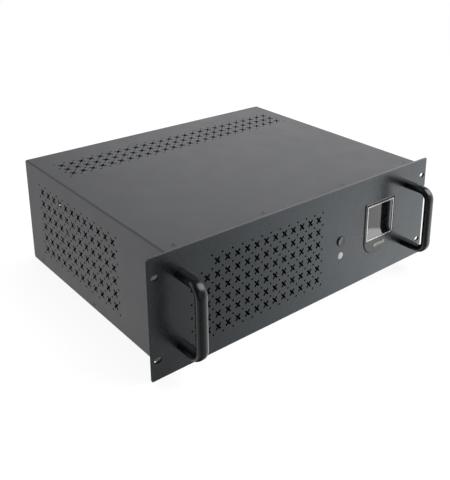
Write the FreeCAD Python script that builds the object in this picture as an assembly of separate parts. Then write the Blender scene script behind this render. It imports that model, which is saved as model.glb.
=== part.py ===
import FreeCAD, Part
import math
import os

# Uninterruptible power supply for a 19-inch rack, three and a half units high.
# Frame: origin at the centre of the front panel's rear face, +X right as seen from the front,
# +Y towards the rear, +Z up.  All sizes are millimetres.

# ---------------------------------------------------------------- driving dimensions

# Front panel
PANEL_WIDTH = 482.6
PANEL_HEIGHT = 155.5
PANEL_THICK = 3.0
PANEL_CORNER = 0.8
SLOT_SPACING_X = 465.1
SLOT_SPACING_Z = 104.8
SLOT_LENGTH = 10.0
SLOT_HALF_WIDTH = 3.4

# Case
CASE_WIDTH = 436.5
CASE_HEIGHT = 155.0
CASE_DEPTH = 362.0
COVER_THICK = 1.2
TRAY_THICK = 1.5
REAR_THICK = 1.5
COVER_BEND = 2.4

# Ventilation: diagonal crosses on a regular grid, with a round dot at every corner of a cell
PITCH_ACROSS = 15.0
PITCH = 17.78
ARM_SHARE = 0.24
ARM_HALF_WIDTH = 1.3
DOT_RADIUS = 1.4
FRONT_VENT = (14, 6, -178.0)
FRONT_VENT_LEFT_OUT = {(0, 0), (0, 1), (1, 0)}
SIDE_VENT = (12, 6, 114.8)
TOP_VENT = (26, 3, 273.4)

# Handles
HANDLE_X = 199.8
HANDLE_WIDE = 15.2
HANDLE_THICK = 9.9
HANDLE_SECTION_CORNER = 4.5
HANDLE_SPACING = 92.6
HANDLE_STAND_OFF = 39.6
HANDLE_BEND = 13.0
HANDLE_HOLE_RADIUS = 2.75

# Display
TRIM_CENTRE_X = 140.2
TRIM_CENTRE_Z = 8.2
TRIM_WIDTH = 55.7
TRIM_HEIGHT = 53.4
TRIM_BAND = 1.5
TRIM_ROUND = 5.5
BEZEL_SIDE = 3.4
BEZEL_TOP = 3.2
BEZEL_BOTTOM_Z = -40.2
BEZEL_LOWER_ROUND = 20.5
BEZEL_PROUD = 1.3

# Button and indicator
CONTROL_X = 61.3
BUTTON_Z = -0.7
BUTTON_RADIUS = 6.9
BUTTON_HOLE_RADIUS = 7.35
BUTTON_PROUD = 2.0
BUTTON_TRAVEL = 1.8
LAMP_Z = -22.4
LAMP_RADIUS = 4.9
LAMP_HOLE_RADIUS = 5.0

# Fasteners
TOP_SCREW_X = (-200.0, -70.0, 70.0, 200.0)
TOP_SCREW_Y = 8.0
SIDE_SCREW_Y = (20.0, 176.0, 332.0)
SIDE_SCREW_Z = -71.6
REAR_SCREW_X = (-197.0, -98.5, 0.0, 98.5, 197.0)
REAR_SCREW_TOP_Z = 69.5
REAR_SCREW_BOTTOM_Z = -68.5
M3_RADIUS = 1.45
M3_HOLE_RADIUS = 1.6
M3_HEAD_RADIUS = 2.8
M3_FLAT_HEAD_RADIUS = 3.2
M3_SINK_RADIUS = 3.5
M3_FLAT_HEAD_DEEP = 1.15

# Rear fan
FAN_X = -150.0
FAN_Z = 0.0
FAN_SIZE = 80.0
FAN_DEEP = 25.0
FAN_BORE_RADIUS = 38.2
FAN_HOLE_SPACING = 71.5
FAN_HOLE_RADIUS = 2.15
FAN_BLADES = 7
FAN_SHAFT_RADIUS = 1.5
FAN_SHAFT_CLEARANCE = 0.05

# Rear sockets
OUTLET_X = (62.0, 108.0, 154.0)
OUTLET_Z = (24.0, -24.0)
OUTLET_WIDTH = 27.0
OUTLET_HEIGHT = 32.0
INLET_X = 12.0
INLET_Z = -22.0
BREAKER_X = 12.0
BREAKER_Z = 28.0
BREAKER_TRAVEL = 3.0
PORTS_X = -58.0

# Inside
BATTERY_LONG = 151.0
BATTERY_WIDE = 65.0
BATTERY_HIGH = 94.0
BATTERY_X = 46.0
BATTERY_Y = (46.0, 113.0)
CORE_WIDTH = 108.0
CORE_DEEP = 76.0
CORE_HIGH = 90.0
CORE_X = -184.0
CORE_Y = 52.0
BOARD_X = (-205.0, -15.0)
BOARD_Y = (CASE_DEPTH - 171.0, CASE_DEPTH - 35.0)
BOARD_THICK = 1.6
BOARD_STAND = 10.0

# Worked out from the driving dimensions
HALF_CASE = CASE_WIDTH / 2
COVER_TOP = CASE_HEIGHT / 2
COVER_DEPTH = CASE_DEPTH - REAR_THICK
COVER_INNER_X = HALF_CASE - COVER_THICK
COVER_INNER_Z = COVER_TOP - COVER_THICK
TRAY_BOTTOM = -CASE_HEIGHT / 2
FLOOR = TRAY_BOTTOM + TRAY_THICK
PANEL_FRONT = -PANEL_THICK
TRIM_LEFT = TRIM_CENTRE_X - TRIM_WIDTH / 2
TRIM_RIGHT = TRIM_CENTRE_X + TRIM_WIDTH / 2
TRIM_LOW = TRIM_CENTRE_Z - TRIM_HEIGHT / 2
TRIM_HIGH = TRIM_CENTRE_Z + TRIM_HEIGHT / 2
BOARD_LOW = FLOOR + BOARD_STAND
BOARD_TOP = BOARD_LOW + BOARD_THICK
FAN_FRONT = COVER_DEPTH - FAN_DEEP

V = FreeCAD.Vector
TINY = 1e-6
UP = V(0, 0, 1)
DOWN = V(0, 0, -1)
FORWARD = V(0, -1, 0)
REARWARD = V(0, 1, 0)
LEFTWARD = V(-1, 0, 0)
RIGHTWARD = V(1, 0, 0)


# ---------------------------------------------------------------- drawing helpers

def upright(y):
    """Maps (u, v) onto the vertical plane at depth y, seen from the front."""
    return lambda u, v: V(u, y, v)


def level(z):
    """Maps (u, v) onto the horizontal plane at height z."""
    return lambda u, v: V(u, v, z)


def sideways(x):
    """Maps (u, v) onto the plane at width x: u is depth and v is height."""
    return lambda u, v: V(x, u, v)


def box(x0, x1, y0, y1, z0, z1):
    return Part.makeBox(x1 - x0, y1 - y0, z1 - z0, V(x0, y0, z0))


def rod_y(x, z, radius, y0, y1):
    return Part.makeCylinder(radius, y1 - y0, V(x, y0, z), REARWARD)


def rod_z(x, y, radius, z0, z1):
    return Part.makeCylinder(radius, z1 - z0, V(x, y, z0), UP)


def rod_x(y, z, radius, x0, x1):
    return Part.makeCylinder(radius, x1 - x0, V(x0, y, z), RIGHTWARD)


def fused(shapes):
    """One solid from pieces that touch or overlap."""
    first = shapes[0]
    return first.multiFuse(shapes[1:])


def rounded_edges(points, radii, closed):
    """Straight runs through the points, with an arc of the given radius at each corner."""
    count = len(points)
    corners = []
    for index, point in enumerate(points):
        is_end = not closed and index in (0, count - 1)
        if is_end or radii[index] < TINY:
            corners.append((point, point, point))
            continue
        back = (points[index - 1] - point).normalize()
        ahead = (points[(index + 1) % count] - point).normalize()
        half_angle = back.getAngle(ahead) / 2
        reach = radii[index] / math.tan(half_angle)
        crown = radii[index] / math.sin(half_angle) - radii[index]
        middle = point + (back + ahead).normalize() * crown
        corners.append((point + back * reach, middle, point + ahead * reach))
    edges = []
    for index, (entry, middle, leave) in enumerate(corners):
        if (leave - entry).Length > TINY:
            edges.append(Part.Arc(entry, middle, leave).toShape())
        if not closed and index == count - 1:
            break
        following = corners[(index + 1) % count][0]
        if (following - leave).Length > TINY:
            edges.append(Part.makeLine(leave, following))
    return edges


def outline(points, radii, place):
    """Closed wire through (u, v) points, drawn anticlockwise, with rounded corners."""
    return Part.Wire(rounded_edges([place(u, v) for u, v in points], radii, True))


def rectangle(u0, u1, v0, v1, radius, place):
    points = [(u0, v0), (u1, v0), (u1, v1), (u0, v1)]
    return outline(points, [radius] * 4, place)


def round_hole(u, v, radius, place):
    """Circle drawn anticlockwise in (u, v)."""
    right = place(u + radius, v)
    top = place(u, v + radius)
    left = place(u - radius, v)
    bottom = place(u, v - radius)
    return Part.Wire([Part.Arc(right, top, left).toShape(), Part.Arc(left, bottom, right).toShape()])


def slot_hole(u, v, length, half_width, place):
    """Slot with round ends, along u."""
    return rectangle(u - length / 2, u + length / 2, v - half_width, v + half_width, half_width, place)


def cross_hole(u, v, pitch_u, place):
    """Two crossing slots with round ends, on the diagonals of a cell pitch_u wide and PITCH high."""
    def at(angle, along, across):
        return place(u + along * math.cos(angle) - across * math.sin(angle),
                     v + along * math.sin(angle) + across * math.cos(angle))
    side = ARM_HALF_WIDTH
    reach = ARM_SHARE * math.hypot(pitch_u, PITCH)
    straight = reach - side
    slope = math.atan2(PITCH, pitch_u)
    angles = [slope, math.pi - slope, math.pi + slope, 2 * math.pi - slope]
    edges = []
    for index, angle in enumerate(angles):
        before = side / math.tan((angle - angles[index - 1]) % math.tau / 2)
        after = side / math.tan((angles[(index + 1) % 4] - angle) % math.tau / 2)
        edges.append(Part.makeLine(at(angle, before, -side), at(angle, straight, -side)))
        tip = Part.Arc(at(angle, straight, -side), at(angle, reach, 0), at(angle, straight, side))
        edges.append(tip.toShape())
        edges.append(Part.makeLine(at(angle, straight, side), at(angle, after, side)))
    return Part.Wire(edges)


def vent_field(columns, rows, u_first, v_first, pitch_u, place, left_out=frozenset()):
    """Crosses on the grid, and a dot at each corner of every cell that holds a cross."""
    holes = []
    dots = set()
    for column in range(columns):
        for row in range(rows):
            if (column, row) in left_out:
                continue
            holes.append(cross_hole(u_first + pitch_u * column, v_first + PITCH * row, pitch_u, place))
            dots.update({(column, row), (column + 1, row), (column, row + 1), (column + 1, row + 1)})
    for column, row in sorted(dots):
        u = u_first + pitch_u * (column - 0.5)
        v = v_first + PITCH * (row - 0.5)
        holes.append(round_hole(u, v, DOT_RADIUS, place))
    return holes


def sheet(outer, holes, thickness):
    """Plate from an outer wire and hole wires, all drawn the same way round."""
    for hole in holes:
        hole.reverse()
    return Part.Face([outer] + holes).extrude(thickness)


def swept(points, bend, section_radius):
    """Round bar or cable through the points, bent to the given radius at each corner."""
    spine = Part.Wire(rounded_edges(points, [bend] * len(points), False))
    heading = points[1] - points[0]
    section = Part.Wire(Part.makeCircle(section_radius, points[0], heading))
    return spine.makePipeShell([section], True, True)


def aimed(shape, position, outward):
    """Turns a shape drawn about +Z so that +Z points outward, and moves it into place."""
    turned = shape.copy()
    target = FreeCAD.Placement(position, FreeCAD.Rotation(UP, outward))
    turned.Placement = target.multiply(shape.Placement)
    return turned


# ---------------------------------------------------------------- fasteners

def cross_recess(radius, depth, top):
    """Cutter for a cross-shaped driver recess."""
    half_width = radius * 0.16
    reach = radius * 0.6
    first = box(-reach, reach, -half_width, half_width, top - depth, top + 1)
    second = box(-half_width, half_width, -reach, reach, top - depth, top + 1)
    return first.fuse(second)


def flat_screw(head_radius, head_deep, shank_radius, length):
    """Countersunk screw: the head's flat face is at z = 0 and the shank runs down."""
    head = Part.makeCone(shank_radius, head_radius, head_deep, V(0, 0, -head_deep), UP)
    shank = rod_z(0, 0, shank_radius, -length, -head_deep)
    return head.fuse(shank).cut(cross_recess(head_radius, head_deep * 0.7, 0))


def pan_screw(head_radius, head_high, shank_radius, length):
    """Pan-head screw: the underside of the head is at z = 0 and the shank runs down."""
    head = rod_z(0, 0, head_radius, 0, head_high)
    rim = [edge for edge in head.Edges if edge.Length > TINY and edge.BoundBox.ZMin > head_high / 2]
    head = head.makeFillet(head_high * 0.45, rim)
    shank = rod_z(0, 0, shank_radius, -length, 0)
    return head.fuse(shank).cut(cross_recess(head_radius, head_high * 0.6, head_high))


def hex_nut(across_flats, bore_radius, high):
    """Hexagon nut standing on z = 0."""
    corner = across_flats / math.sqrt(3)
    points = [(corner * math.cos(math.radians(60 * k)), corner * math.sin(math.radians(60 * k)))
              for k in range(6)]
    body = sheet(outline(points, [0] * 6, level(0)), [round_hole(0, 0, bore_radius, level(0))],
                 V(0, 0, high))
    return body


def ring(outer_radius, bore_radius, high):
    """Plain ring standing on z = 0."""
    return rod_z(0, 0, outer_radius, 0, high).cut(rod_z(0, 0, bore_radius, -1, high + 1))


# ---------------------------------------------------------------- front panel and handles

STUD_Z = 69.0
PANEL_STUDS = [(-208, 0), (208, 0)] + [(x, z) for x in (-100, 37, 150) for z in (STUD_Z, -STUD_Z)]
STUD_RADIUS = 2.0
STUD_LENGTH = 8.0


def handle_feet():
    """Centres of the four handle legs on the panel."""
    return [(x, z) for x in (-HANDLE_X, HANDLE_X) for z in (-HANDLE_SPACING / 2, HANDLE_SPACING / 2)]


def bezel_neck(gap, place):
    """Outline of the part of the bezel that passes through the panel."""
    inset = 2.0
    return outline([(TRIM_LEFT - BEZEL_SIDE + inset - gap, BEZEL_BOTTOM_Z + inset - gap),
                    (TRIM_RIGHT + BEZEL_SIDE - inset + gap, BEZEL_BOTTOM_Z + inset - gap),
                    (TRIM_RIGHT + BEZEL_SIDE - inset + gap, TRIM_HIGH + BEZEL_TOP - inset + gap),
                    (TRIM_LEFT - BEZEL_SIDE + inset - gap, TRIM_HIGH + BEZEL_TOP - inset + gap)],
                   [BEZEL_LOWER_ROUND - inset, BEZEL_LOWER_ROUND - inset, 1.0, 1.0], place)


def front_panel():
    """Flat plate with the ventilation field, rack slots and cut-outs, and welded studs behind."""
    place = upright(PANEL_FRONT)
    outer = rectangle(-PANEL_WIDTH / 2, PANEL_WIDTH / 2, -PANEL_HEIGHT / 2, PANEL_HEIGHT / 2,
                      PANEL_CORNER, place)
    columns, rows, first = FRONT_VENT
    top_row = PITCH * (rows - 1) / 2
    holes = vent_field(columns, rows, first, top_row, PITCH_ACROSS,
                       lambda u, v: V(u, PANEL_FRONT, 2 * top_row - v), FRONT_VENT_LEFT_OUT)
    for hole in holes:
        hole.reverse()
    for x in (-SLOT_SPACING_X / 2, SLOT_SPACING_X / 2):
        for z in (-SLOT_SPACING_Z / 2, SLOT_SPACING_Z / 2):
            holes.append(slot_hole(x, z, SLOT_LENGTH, SLOT_HALF_WIDTH, place))
    for x, z in handle_feet():
        holes.append(round_hole(x, z, HANDLE_HOLE_RADIUS, place))
    holes.append(bezel_neck(0.15, place))
    holes.append(round_hole(CONTROL_X, BUTTON_Z, BUTTON_HOLE_RADIUS, place))
    holes.append(round_hole(CONTROL_X, LAMP_Z, LAMP_HOLE_RADIUS, place))
    studs = [rod_y(x, z, STUD_RADIUS, 0, STUD_LENGTH) for x, z in PANEL_STUDS]
    return fused([sheet(outer, holes, V(0, PANEL_THICK, 0))] + studs)


def panel_nuts():
    nut = hex_nut(7.0, STUD_RADIUS + 0.05, 3.2)
    return [aimed(nut, V(x, TRAY_THICK, z), REARWARD) for x, z in PANEL_STUDS]


def handle(x):
    """Flattened bar bent into a U, with a threaded bore in each leg."""
    low = -HANDLE_SPACING / 2
    high = HANDLE_SPACING / 2
    front = PANEL_FRONT - HANDLE_STAND_OFF
    points = [V(x, PANEL_FRONT, low), V(x, front, low), V(x, front, high), V(x, PANEL_FRONT, high)]
    spine = Part.Wire(rounded_edges(points, [HANDLE_BEND] * 4, False))
    section = rectangle(x - HANDLE_WIDE / 2, x + HANDLE_WIDE / 2, low - HANDLE_THICK / 2,
                        low + HANDLE_THICK / 2, HANDLE_SECTION_CORNER, upright(PANEL_FRONT))
    bar = spine.makePipeShell([section], True, True)
    bore_deep = 12.0
    for z in (low, high):
        bar = bar.cut(rod_y(x, z, HANDLE_HOLE_RADIUS - 0.15, PANEL_FRONT - bore_deep, PANEL_FRONT + 1))
    return bar


def handle_fixings():
    """Screws and washers that hold the handles from behind the panel."""
    washer_thick = 1.0
    screw = pan_screw(4.6, 3.4, HANDLE_HOLE_RADIUS - 0.25, 14.0)
    washer = ring(5.2, HANDLE_HOLE_RADIUS, washer_thick)
    screws = [aimed(screw, V(x, washer_thick, z), REARWARD) for x, z in handle_feet()]
    washers = [aimed(washer, V(x, 0, z), REARWARD) for x, z in handle_feet()]
    return screws + washers


# ---------------------------------------------------------------- case

# Openings in the tray's front wall: left, right, bottom and top
VENT_OPENING = (-190.0, 30.0, -62.0, 62.0)
SWITCH_OPENING = (43.0, 80.0, -43.0, 21.0)
DISPLAY_OPENING = (98.0, 188.0, -52.0, 48.0)
OPENING_CORNER = 2.0
FOOT_OPENING_RADIUS = 6.5
FLANGE_HALF_LONG = 212.0
FLANGE_REAR_Y = 14.0
SIDE_LIP_HIGH = 12.5
REAR_LIP_HIGH = 14.5
COVER_LIP_HIGH = 13.8


def base_tray():
    """Floor with a front wall, a top flange, two side lips and a rear lip."""
    deep = COVER_DEPTH
    lip_top = FLOOR + SIDE_LIP_HIGH
    place = upright(0)
    wall_corners = [(-COVER_INNER_X, FLOOR), (COVER_INNER_X, FLOOR),
                    (COVER_INNER_X, COVER_INNER_Z), (-COVER_INNER_X, COVER_INNER_Z)]
    wall_outer = outline(wall_corners, [0, 0, COVER_BEND, COVER_BEND], place)
    openings = [rectangle(*opening, OPENING_CORNER, place)
                for opening in (VENT_OPENING, SWITCH_OPENING, DISPLAY_OPENING)]
    for x, z in handle_feet():
        openings.append(round_hole(x, z, FOOT_OPENING_RADIUS, place))
    for x, z in PANEL_STUDS:
        openings.append(round_hole(x, z, STUD_RADIUS + 0.25, place))
    wall = sheet(wall_outer, openings, V(0, TRAY_THICK, 0))
    flange_place = level(COVER_INNER_Z - TRAY_THICK)
    flange_holes = [round_hole(x, TOP_SCREW_Y, M3_HOLE_RADIUS, flange_place) for x in TOP_SCREW_X]
    flange_outer = rectangle(-FLANGE_HALF_LONG, FLANGE_HALF_LONG, TRAY_THICK, FLANGE_REAR_Y, 0, flange_place)
    flange = sheet(flange_outer, flange_holes, V(0, 0, TRAY_THICK))
    floor = box(-COVER_INNER_X, COVER_INNER_X, 0, deep, TRAY_BOTTOM, FLOOR)
    pieces = [floor, wall, flange]
    for side in (-1, 1):
        place = sideways(side * COVER_INNER_X)
        lip_holes = [round_hole(y, SIDE_SCREW_Z, M3_HOLE_RADIUS, place) for y in SIDE_SCREW_Y]
        lip_outer = rectangle(TRAY_THICK, deep - TRAY_THICK, FLOOR, lip_top, 0, place)
        pieces.append(sheet(lip_outer, lip_holes, V(-side * TRAY_THICK, 0, 0)))
    place = upright(deep - TRAY_THICK)
    rear_holes = [round_hole(x, REAR_SCREW_BOTTOM_Z, M3_HOLE_RADIUS, place) for x in REAR_SCREW_X]
    rear_outer = rectangle(-COVER_INNER_X, COVER_INNER_X, FLOOR, FLOOR + REAR_LIP_HIGH, 0, place)
    pieces.append(sheet(rear_outer, rear_holes, V(0, TRAY_THICK, 0)))
    return fused(pieces)


def cover_corner(side):
    """Quarter bend between the top and one side of the cover."""
    inner = COVER_BEND - COVER_THICK
    centre = V(side * (HALF_CASE - COVER_BEND), 0, COVER_TOP - COVER_BEND)
    outer_bar = Part.makeCylinder(COVER_BEND, COVER_DEPTH, centre, REARWARD)
    inner_bar = Part.makeCylinder(inner, COVER_DEPTH, centre, REARWARD)
    x_near = side * (HALF_CASE - COVER_BEND)
    x_far = side * HALF_CASE
    quarter = box(min(x_near, x_far), max(x_near, x_far), 0, COVER_DEPTH, COVER_TOP - COVER_BEND, COVER_TOP)
    return outer_bar.cut(inner_bar).common(quarter)


def top_cover():
    """Inverted U: top and both sides in one sheet, with ventilation and a lip at the rear."""
    top_place = level(COVER_INNER_Z)
    columns, rows, first_y = TOP_VENT
    first_x = -PITCH_ACROSS * (columns - 1) / 2
    top_holes = vent_field(columns, rows, first_x, first_y, PITCH_ACROSS, top_place)
    top_holes += [round_hole(x, TOP_SCREW_Y, M3_SINK_RADIUS, top_place) for x in TOP_SCREW_X]
    top_edge = HALF_CASE - COVER_BEND
    top = sheet(rectangle(-top_edge, top_edge, 0, COVER_DEPTH, 0, top_place), top_holes,
                V(0, 0, COVER_THICK))
    pieces = [top]
    columns, rows, first_y = SIDE_VENT
    lowest_row = -PITCH * (rows - 1) / 2
    for side in (-1, 1):
        place = sideways(side * COVER_INNER_X)
        holes = vent_field(columns, rows, first_y, lowest_row, PITCH, place)
        holes += [round_hole(y, SIDE_SCREW_Z, M3_SINK_RADIUS, place) for y in SIDE_SCREW_Y]
        outer = rectangle(0, COVER_DEPTH, TRAY_BOTTOM, COVER_TOP - COVER_BEND, 0, place)
        pieces.append(sheet(outer, holes, V(side * COVER_THICK, 0, 0)))
        pieces.append(cover_corner(side))
    place = upright(COVER_DEPTH - COVER_THICK)
    lip_holes = [round_hole(x, REAR_SCREW_TOP_Z, M3_HOLE_RADIUS, place) for x in REAR_SCREW_X]
    lip_outer = rectangle(-FLANGE_HALF_LONG, FLANGE_HALF_LONG, COVER_INNER_Z - COVER_LIP_HIGH, COVER_INNER_Z,
                          0, place)
    pieces.append(sheet(lip_outer, lip_holes, V(0, COVER_THICK, 0)))
    return fused(pieces)


def cover_screws():
    """Flush screws along the front edge of the top and the bottom edge of both sides."""
    screw = flat_screw(M3_FLAT_HEAD_RADIUS, M3_FLAT_HEAD_DEEP, M3_RADIUS, 6.5)
    top = [aimed(screw, V(x, TOP_SCREW_Y, COVER_TOP), UP) for x in TOP_SCREW_X]
    left = [aimed(screw, V(-HALF_CASE, y, SIDE_SCREW_Z), LEFTWARD) for y in SIDE_SCREW_Y]
    right = [aimed(screw, V(HALF_CASE, y, SIDE_SCREW_Z), RIGHTWARD) for y in SIDE_SCREW_Y]
    return top + left + right


def clinch_nuts():
    """Press-in nuts behind every flush screw."""
    nut = ring(3.1, M3_RADIUS + 0.05, 2.4)
    nuts = [aimed(nut, V(x, TOP_SCREW_Y, COVER_INNER_Z - TRAY_THICK), DOWN) for x in TOP_SCREW_X]
    wall = COVER_INNER_X - TRAY_THICK
    for y in SIDE_SCREW_Y:
        nuts.append(aimed(nut, V(-wall, y, SIDE_SCREW_Z), RIGHTWARD))
        nuts.append(aimed(nut, V(wall, y, SIDE_SCREW_Z), LEFTWARD))
    return nuts


def rear_panel():
    """Flat plate over the whole rear, with cut-outs for everything it carries."""
    place = upright(COVER_DEPTH)
    outer = rectangle(-HALF_CASE, HALF_CASE, TRAY_BOTTOM, COVER_TOP, COVER_BEND, place)
    holes = [round_hole(FAN_X, FAN_Z, FAN_BORE_RADIUS, place)]
    half = FAN_HOLE_SPACING / 2
    for dx in (-half, half):
        for dz in (-half, half):
            holes.append(round_hole(FAN_X + dx, FAN_Z + dz, FAN_HOLE_RADIUS, place))
    for x in REAR_SCREW_X:
        holes.append(round_hole(x, REAR_SCREW_TOP_Z, M3_HOLE_RADIUS, place))
        holes.append(round_hole(x, REAR_SCREW_BOTTOM_Z, M3_HOLE_RADIUS, place))
    for x in OUTLET_X:
        for z in OUTLET_Z:
            holes.append(socket_outline(x, z, 0.1, place))
    holes.append(socket_outline(INLET_X, INLET_Z, 0.1, place))
    for dz in (-INLET_EAR, INLET_EAR):
        holes.append(round_hole(INLET_X, INLET_Z + dz, M3_HOLE_RADIUS, place))
    holes.append(round_hole(BREAKER_X, BREAKER_Z, BREAKER_NECK_RADIUS + 0.15, place))
    usb_x0, usb_x1, usb_z0, usb_z1 = USB_OPENING
    holes.append(rectangle(usb_x0 - 0.2, usb_x1 + 0.2, usb_z0 - 0.2, usb_z1 + 0.2, 0.4, place))
    for x0, x1, z0, z1 in NETWORK_OPENINGS:
        holes.append(rectangle(x0 - 0.2, x1 + 0.2, z0 - 0.2, z1 + 0.2, 0.4, place))
    holes.append(round_hole(EARTH_X, EARTH_Z, STUD_RADIUS + 0.2, place))
    return sheet(outer, holes, V(0, REAR_THICK, 0))


def rear_screws():
    """Pan-head screws along the top and bottom of the rear panel, and in the inlet's two ears."""
    screw = pan_screw(M3_HEAD_RADIUS, 2.0, M3_RADIUS, 6.0)
    screws = []
    for x in REAR_SCREW_X:
        for z in (REAR_SCREW_TOP_Z, REAR_SCREW_BOTTOM_Z):
            screws.append(aimed(screw, V(x, CASE_DEPTH, z), REARWARD))
    for dz in (-INLET_EAR, INLET_EAR):
        screws.append(aimed(screw, V(INLET_X, CASE_DEPTH + INLET_FLANGE, INLET_Z + dz), REARWARD))
    return screws


# ---------------------------------------------------------------- display

BEZEL_DEEP = 7.0
POCKET_DEEP = 1.6
LCD_INSET = 1.5
CONTROL_STAND = 12.0
DISPLAY_STAND = 6.0
DISPLAY_BOARD = (100.5, 184.5, -49.0, 45.0)
SWITCH_BOARD = (46.0, 77.0, -40.0, 18.0)
SPACER_RADIUS = 2.6


def trim_outline(inset, place):
    """Window outline: square corners except the lower right one, which is rounded."""
    points = [(TRIM_LEFT + inset, TRIM_LOW + inset), (TRIM_RIGHT - inset, TRIM_LOW + inset),
              (TRIM_RIGHT - inset, TRIM_HIGH - inset), (TRIM_LEFT + inset, TRIM_HIGH - inset)]
    return outline(points, [0.6, TRIM_ROUND - inset, 0.6, 0.6], place)


def window_opening(place):
    inset = 4.5
    return rectangle(TRIM_LEFT + inset, TRIM_RIGHT - inset, TRIM_LOW + inset, TRIM_HIGH - inset, 1.0, place)


def display_bezel():
    """Moulded frame: thin lip on the panel, neck through it, pocket for the trim and the window."""
    front = PANEL_FRONT - BEZEL_PROUD
    left = TRIM_LEFT - BEZEL_SIDE
    right = TRIM_RIGHT + BEZEL_SIDE
    top = TRIM_HIGH + BEZEL_TOP
    points = [(left, BEZEL_BOTTOM_Z), (right, BEZEL_BOTTOM_Z), (right, top), (left, top)]
    lip_outer = outline(points, [BEZEL_LOWER_ROUND, BEZEL_LOWER_ROUND, 2.5, 2.5], upright(front))
    lip = sheet(lip_outer, [], V(0, BEZEL_PROUD, 0))
    front_rim = [edge for edge in lip.Edges if edge.BoundBox.YMax < front + TINY]
    lip = lip.makeFillet(BEZEL_PROUD * 0.7, front_rim)
    neck = sheet(bezel_neck(0, upright(PANEL_FRONT)), [], V(0, BEZEL_DEEP, 0))
    body = lip.fuse(neck)
    pocket = sheet(trim_outline(-0.05, upright(front - 1)), [], V(0, POCKET_DEEP + 1, 0))
    window = sheet(window_opening(upright(front)), [], V(0, 20, 0))
    rear_pocket = box(TRIM_LEFT + LCD_INSET, TRIM_RIGHT - LCD_INSET, -1.0, 10.0,
                      TRIM_LOW + LCD_INSET, TRIM_HIGH - LCD_INSET)
    return body.cut(pocket).cut(window).cut(rear_pocket)


def display_trim():
    """Bright ring around the window, a little proud of the bezel."""
    front = PANEL_FRONT - BEZEL_PROUD - 0.35
    place = upright(front)
    return sheet(trim_outline(0, place), [trim_outline(TRIM_BAND, place)],
                 V(0, POCKET_DEEP + 0.35, 0))


def display_window():
    front = PANEL_FRONT - BEZEL_PROUD + 0.3
    return sheet(trim_outline(TRIM_BAND + 0.05, upright(front)), [], V(0, POCKET_DEEP - 0.3, 0))


def lcd_module():
    """Display glass in its metal frame, behind the window."""
    gap = LCD_INSET + 0.2
    return box(TRIM_LEFT + gap, TRIM_RIGHT - gap, -0.9, 3.9, TRIM_LOW + gap, TRIM_HIGH - gap)


def spacer_spots(board):
    """Centres of the four spacers in the corners of a board."""
    inset = 4.0
    x0, x1, z0, z1 = board
    return [(x, z) for x in (x0 + inset, x1 - inset) for z in (z0 + inset, z1 - inset)]


def circuit_board(board, y0):
    """Upright circuit board with a fixing hole in each corner."""
    x0, x1, z0, z1 = board
    place = upright(y0)
    holes = [round_hole(x, z, M3_HOLE_RADIUS, place) for x, z in spacer_spots(board)]
    return sheet(rectangle(x0, x1, z0, z1, 1.0, place), holes, V(0, BOARD_THICK, 0))


def display_board():
    return circuit_board(DISPLAY_BOARD, DISPLAY_STAND)


def switch_board():
    """Circuit board of the button, with the indicator's lamp soldered to it."""
    lamp = box(CONTROL_X - 2.5, CONTROL_X + 2.5, 8.4, CONTROL_STAND, LAMP_Z - 2.5, LAMP_Z + 2.5)
    return [circuit_board(SWITCH_BOARD, CONTROL_STAND), lamp]


def badge_plate():
    """Small blank plate under the window."""
    half_long = 12.0
    half_high = 3.0
    centre_z = -28.8
    thick = 0.5
    front = PANEL_FRONT - BEZEL_PROUD - thick
    plate = slot_hole(TRIM_CENTRE_X, centre_z, 2 * half_long, half_high, upright(front))
    return sheet(plate, [], V(0, thick, 0))


# ---------------------------------------------------------------- button and indicator

PLUNGER_RADIUS = 2.4
SWITCH_FRONT = 6.0


def power_button():
    """Round cap with a soft rim, and a collar that keeps it behind the panel."""
    front = PANEL_FRONT - BUTTON_PROUD
    cap = rod_y(CONTROL_X, BUTTON_Z, BUTTON_RADIUS, front, 0.3)
    rim = [edge for edge in cap.Edges if edge.BoundBox.YMax < front + TINY]
    cap = cap.makeFillet(0.8, rim)
    dish_radius = 60.0
    dish_deep = 0.35
    dish = Part.makeSphere(dish_radius, V(CONTROL_X, front - dish_radius + dish_deep, BUTTON_Z))
    collar = rod_y(CONTROL_X, BUTTON_Z, BUTTON_RADIUS + 1.4, 0.3, 1.5)
    return cap.cut(dish).fuse(collar)


def switch_plunger():
    """Stem between the cap and the switch."""
    return rod_y(CONTROL_X, BUTTON_Z, PLUNGER_RADIUS, 1.5, SWITCH_FRONT + 2.0)


def power_switch():
    """Switch housing on its board, with a bore for the plunger."""
    half = 5.5
    housing = box(CONTROL_X - half, CONTROL_X + half, SWITCH_FRONT, CONTROL_STAND,
                  BUTTON_Z - half, BUTTON_Z + half)
    bore = rod_y(CONTROL_X, BUTTON_Z, PLUNGER_RADIUS + 0.1, SWITCH_FRONT - 1, SWITCH_FRONT + 4.8)
    return housing.cut(bore)


def indicator_lens():
    """Pale light guide with a domed face, and a stem to the lamp on the board."""
    dome_radius = 18.0
    body = rod_y(CONTROL_X, LAMP_Z, LAMP_RADIUS, PANEL_FRONT - 1.2, 0)
    dome = Part.makeSphere(dome_radius, V(CONTROL_X, PANEL_FRONT - 0.9 + dome_radius, LAMP_Z))
    collar = rod_y(CONTROL_X, LAMP_Z, LAMP_RADIUS + 1.0, 0, 1.2)
    stem = rod_y(CONTROL_X, LAMP_Z, 2.5, 1.2, 8.0)
    return body.common(dome).fuse(collar).fuse(stem)


# ---------------------------------------------------------------- rear fan

GUARD_THICK = 2.4
FAN_HUB_RADIUS = 16.0
FAN_BOSS_RADIUS = 4.6
BEARING_RADIUS = 3.0


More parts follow.
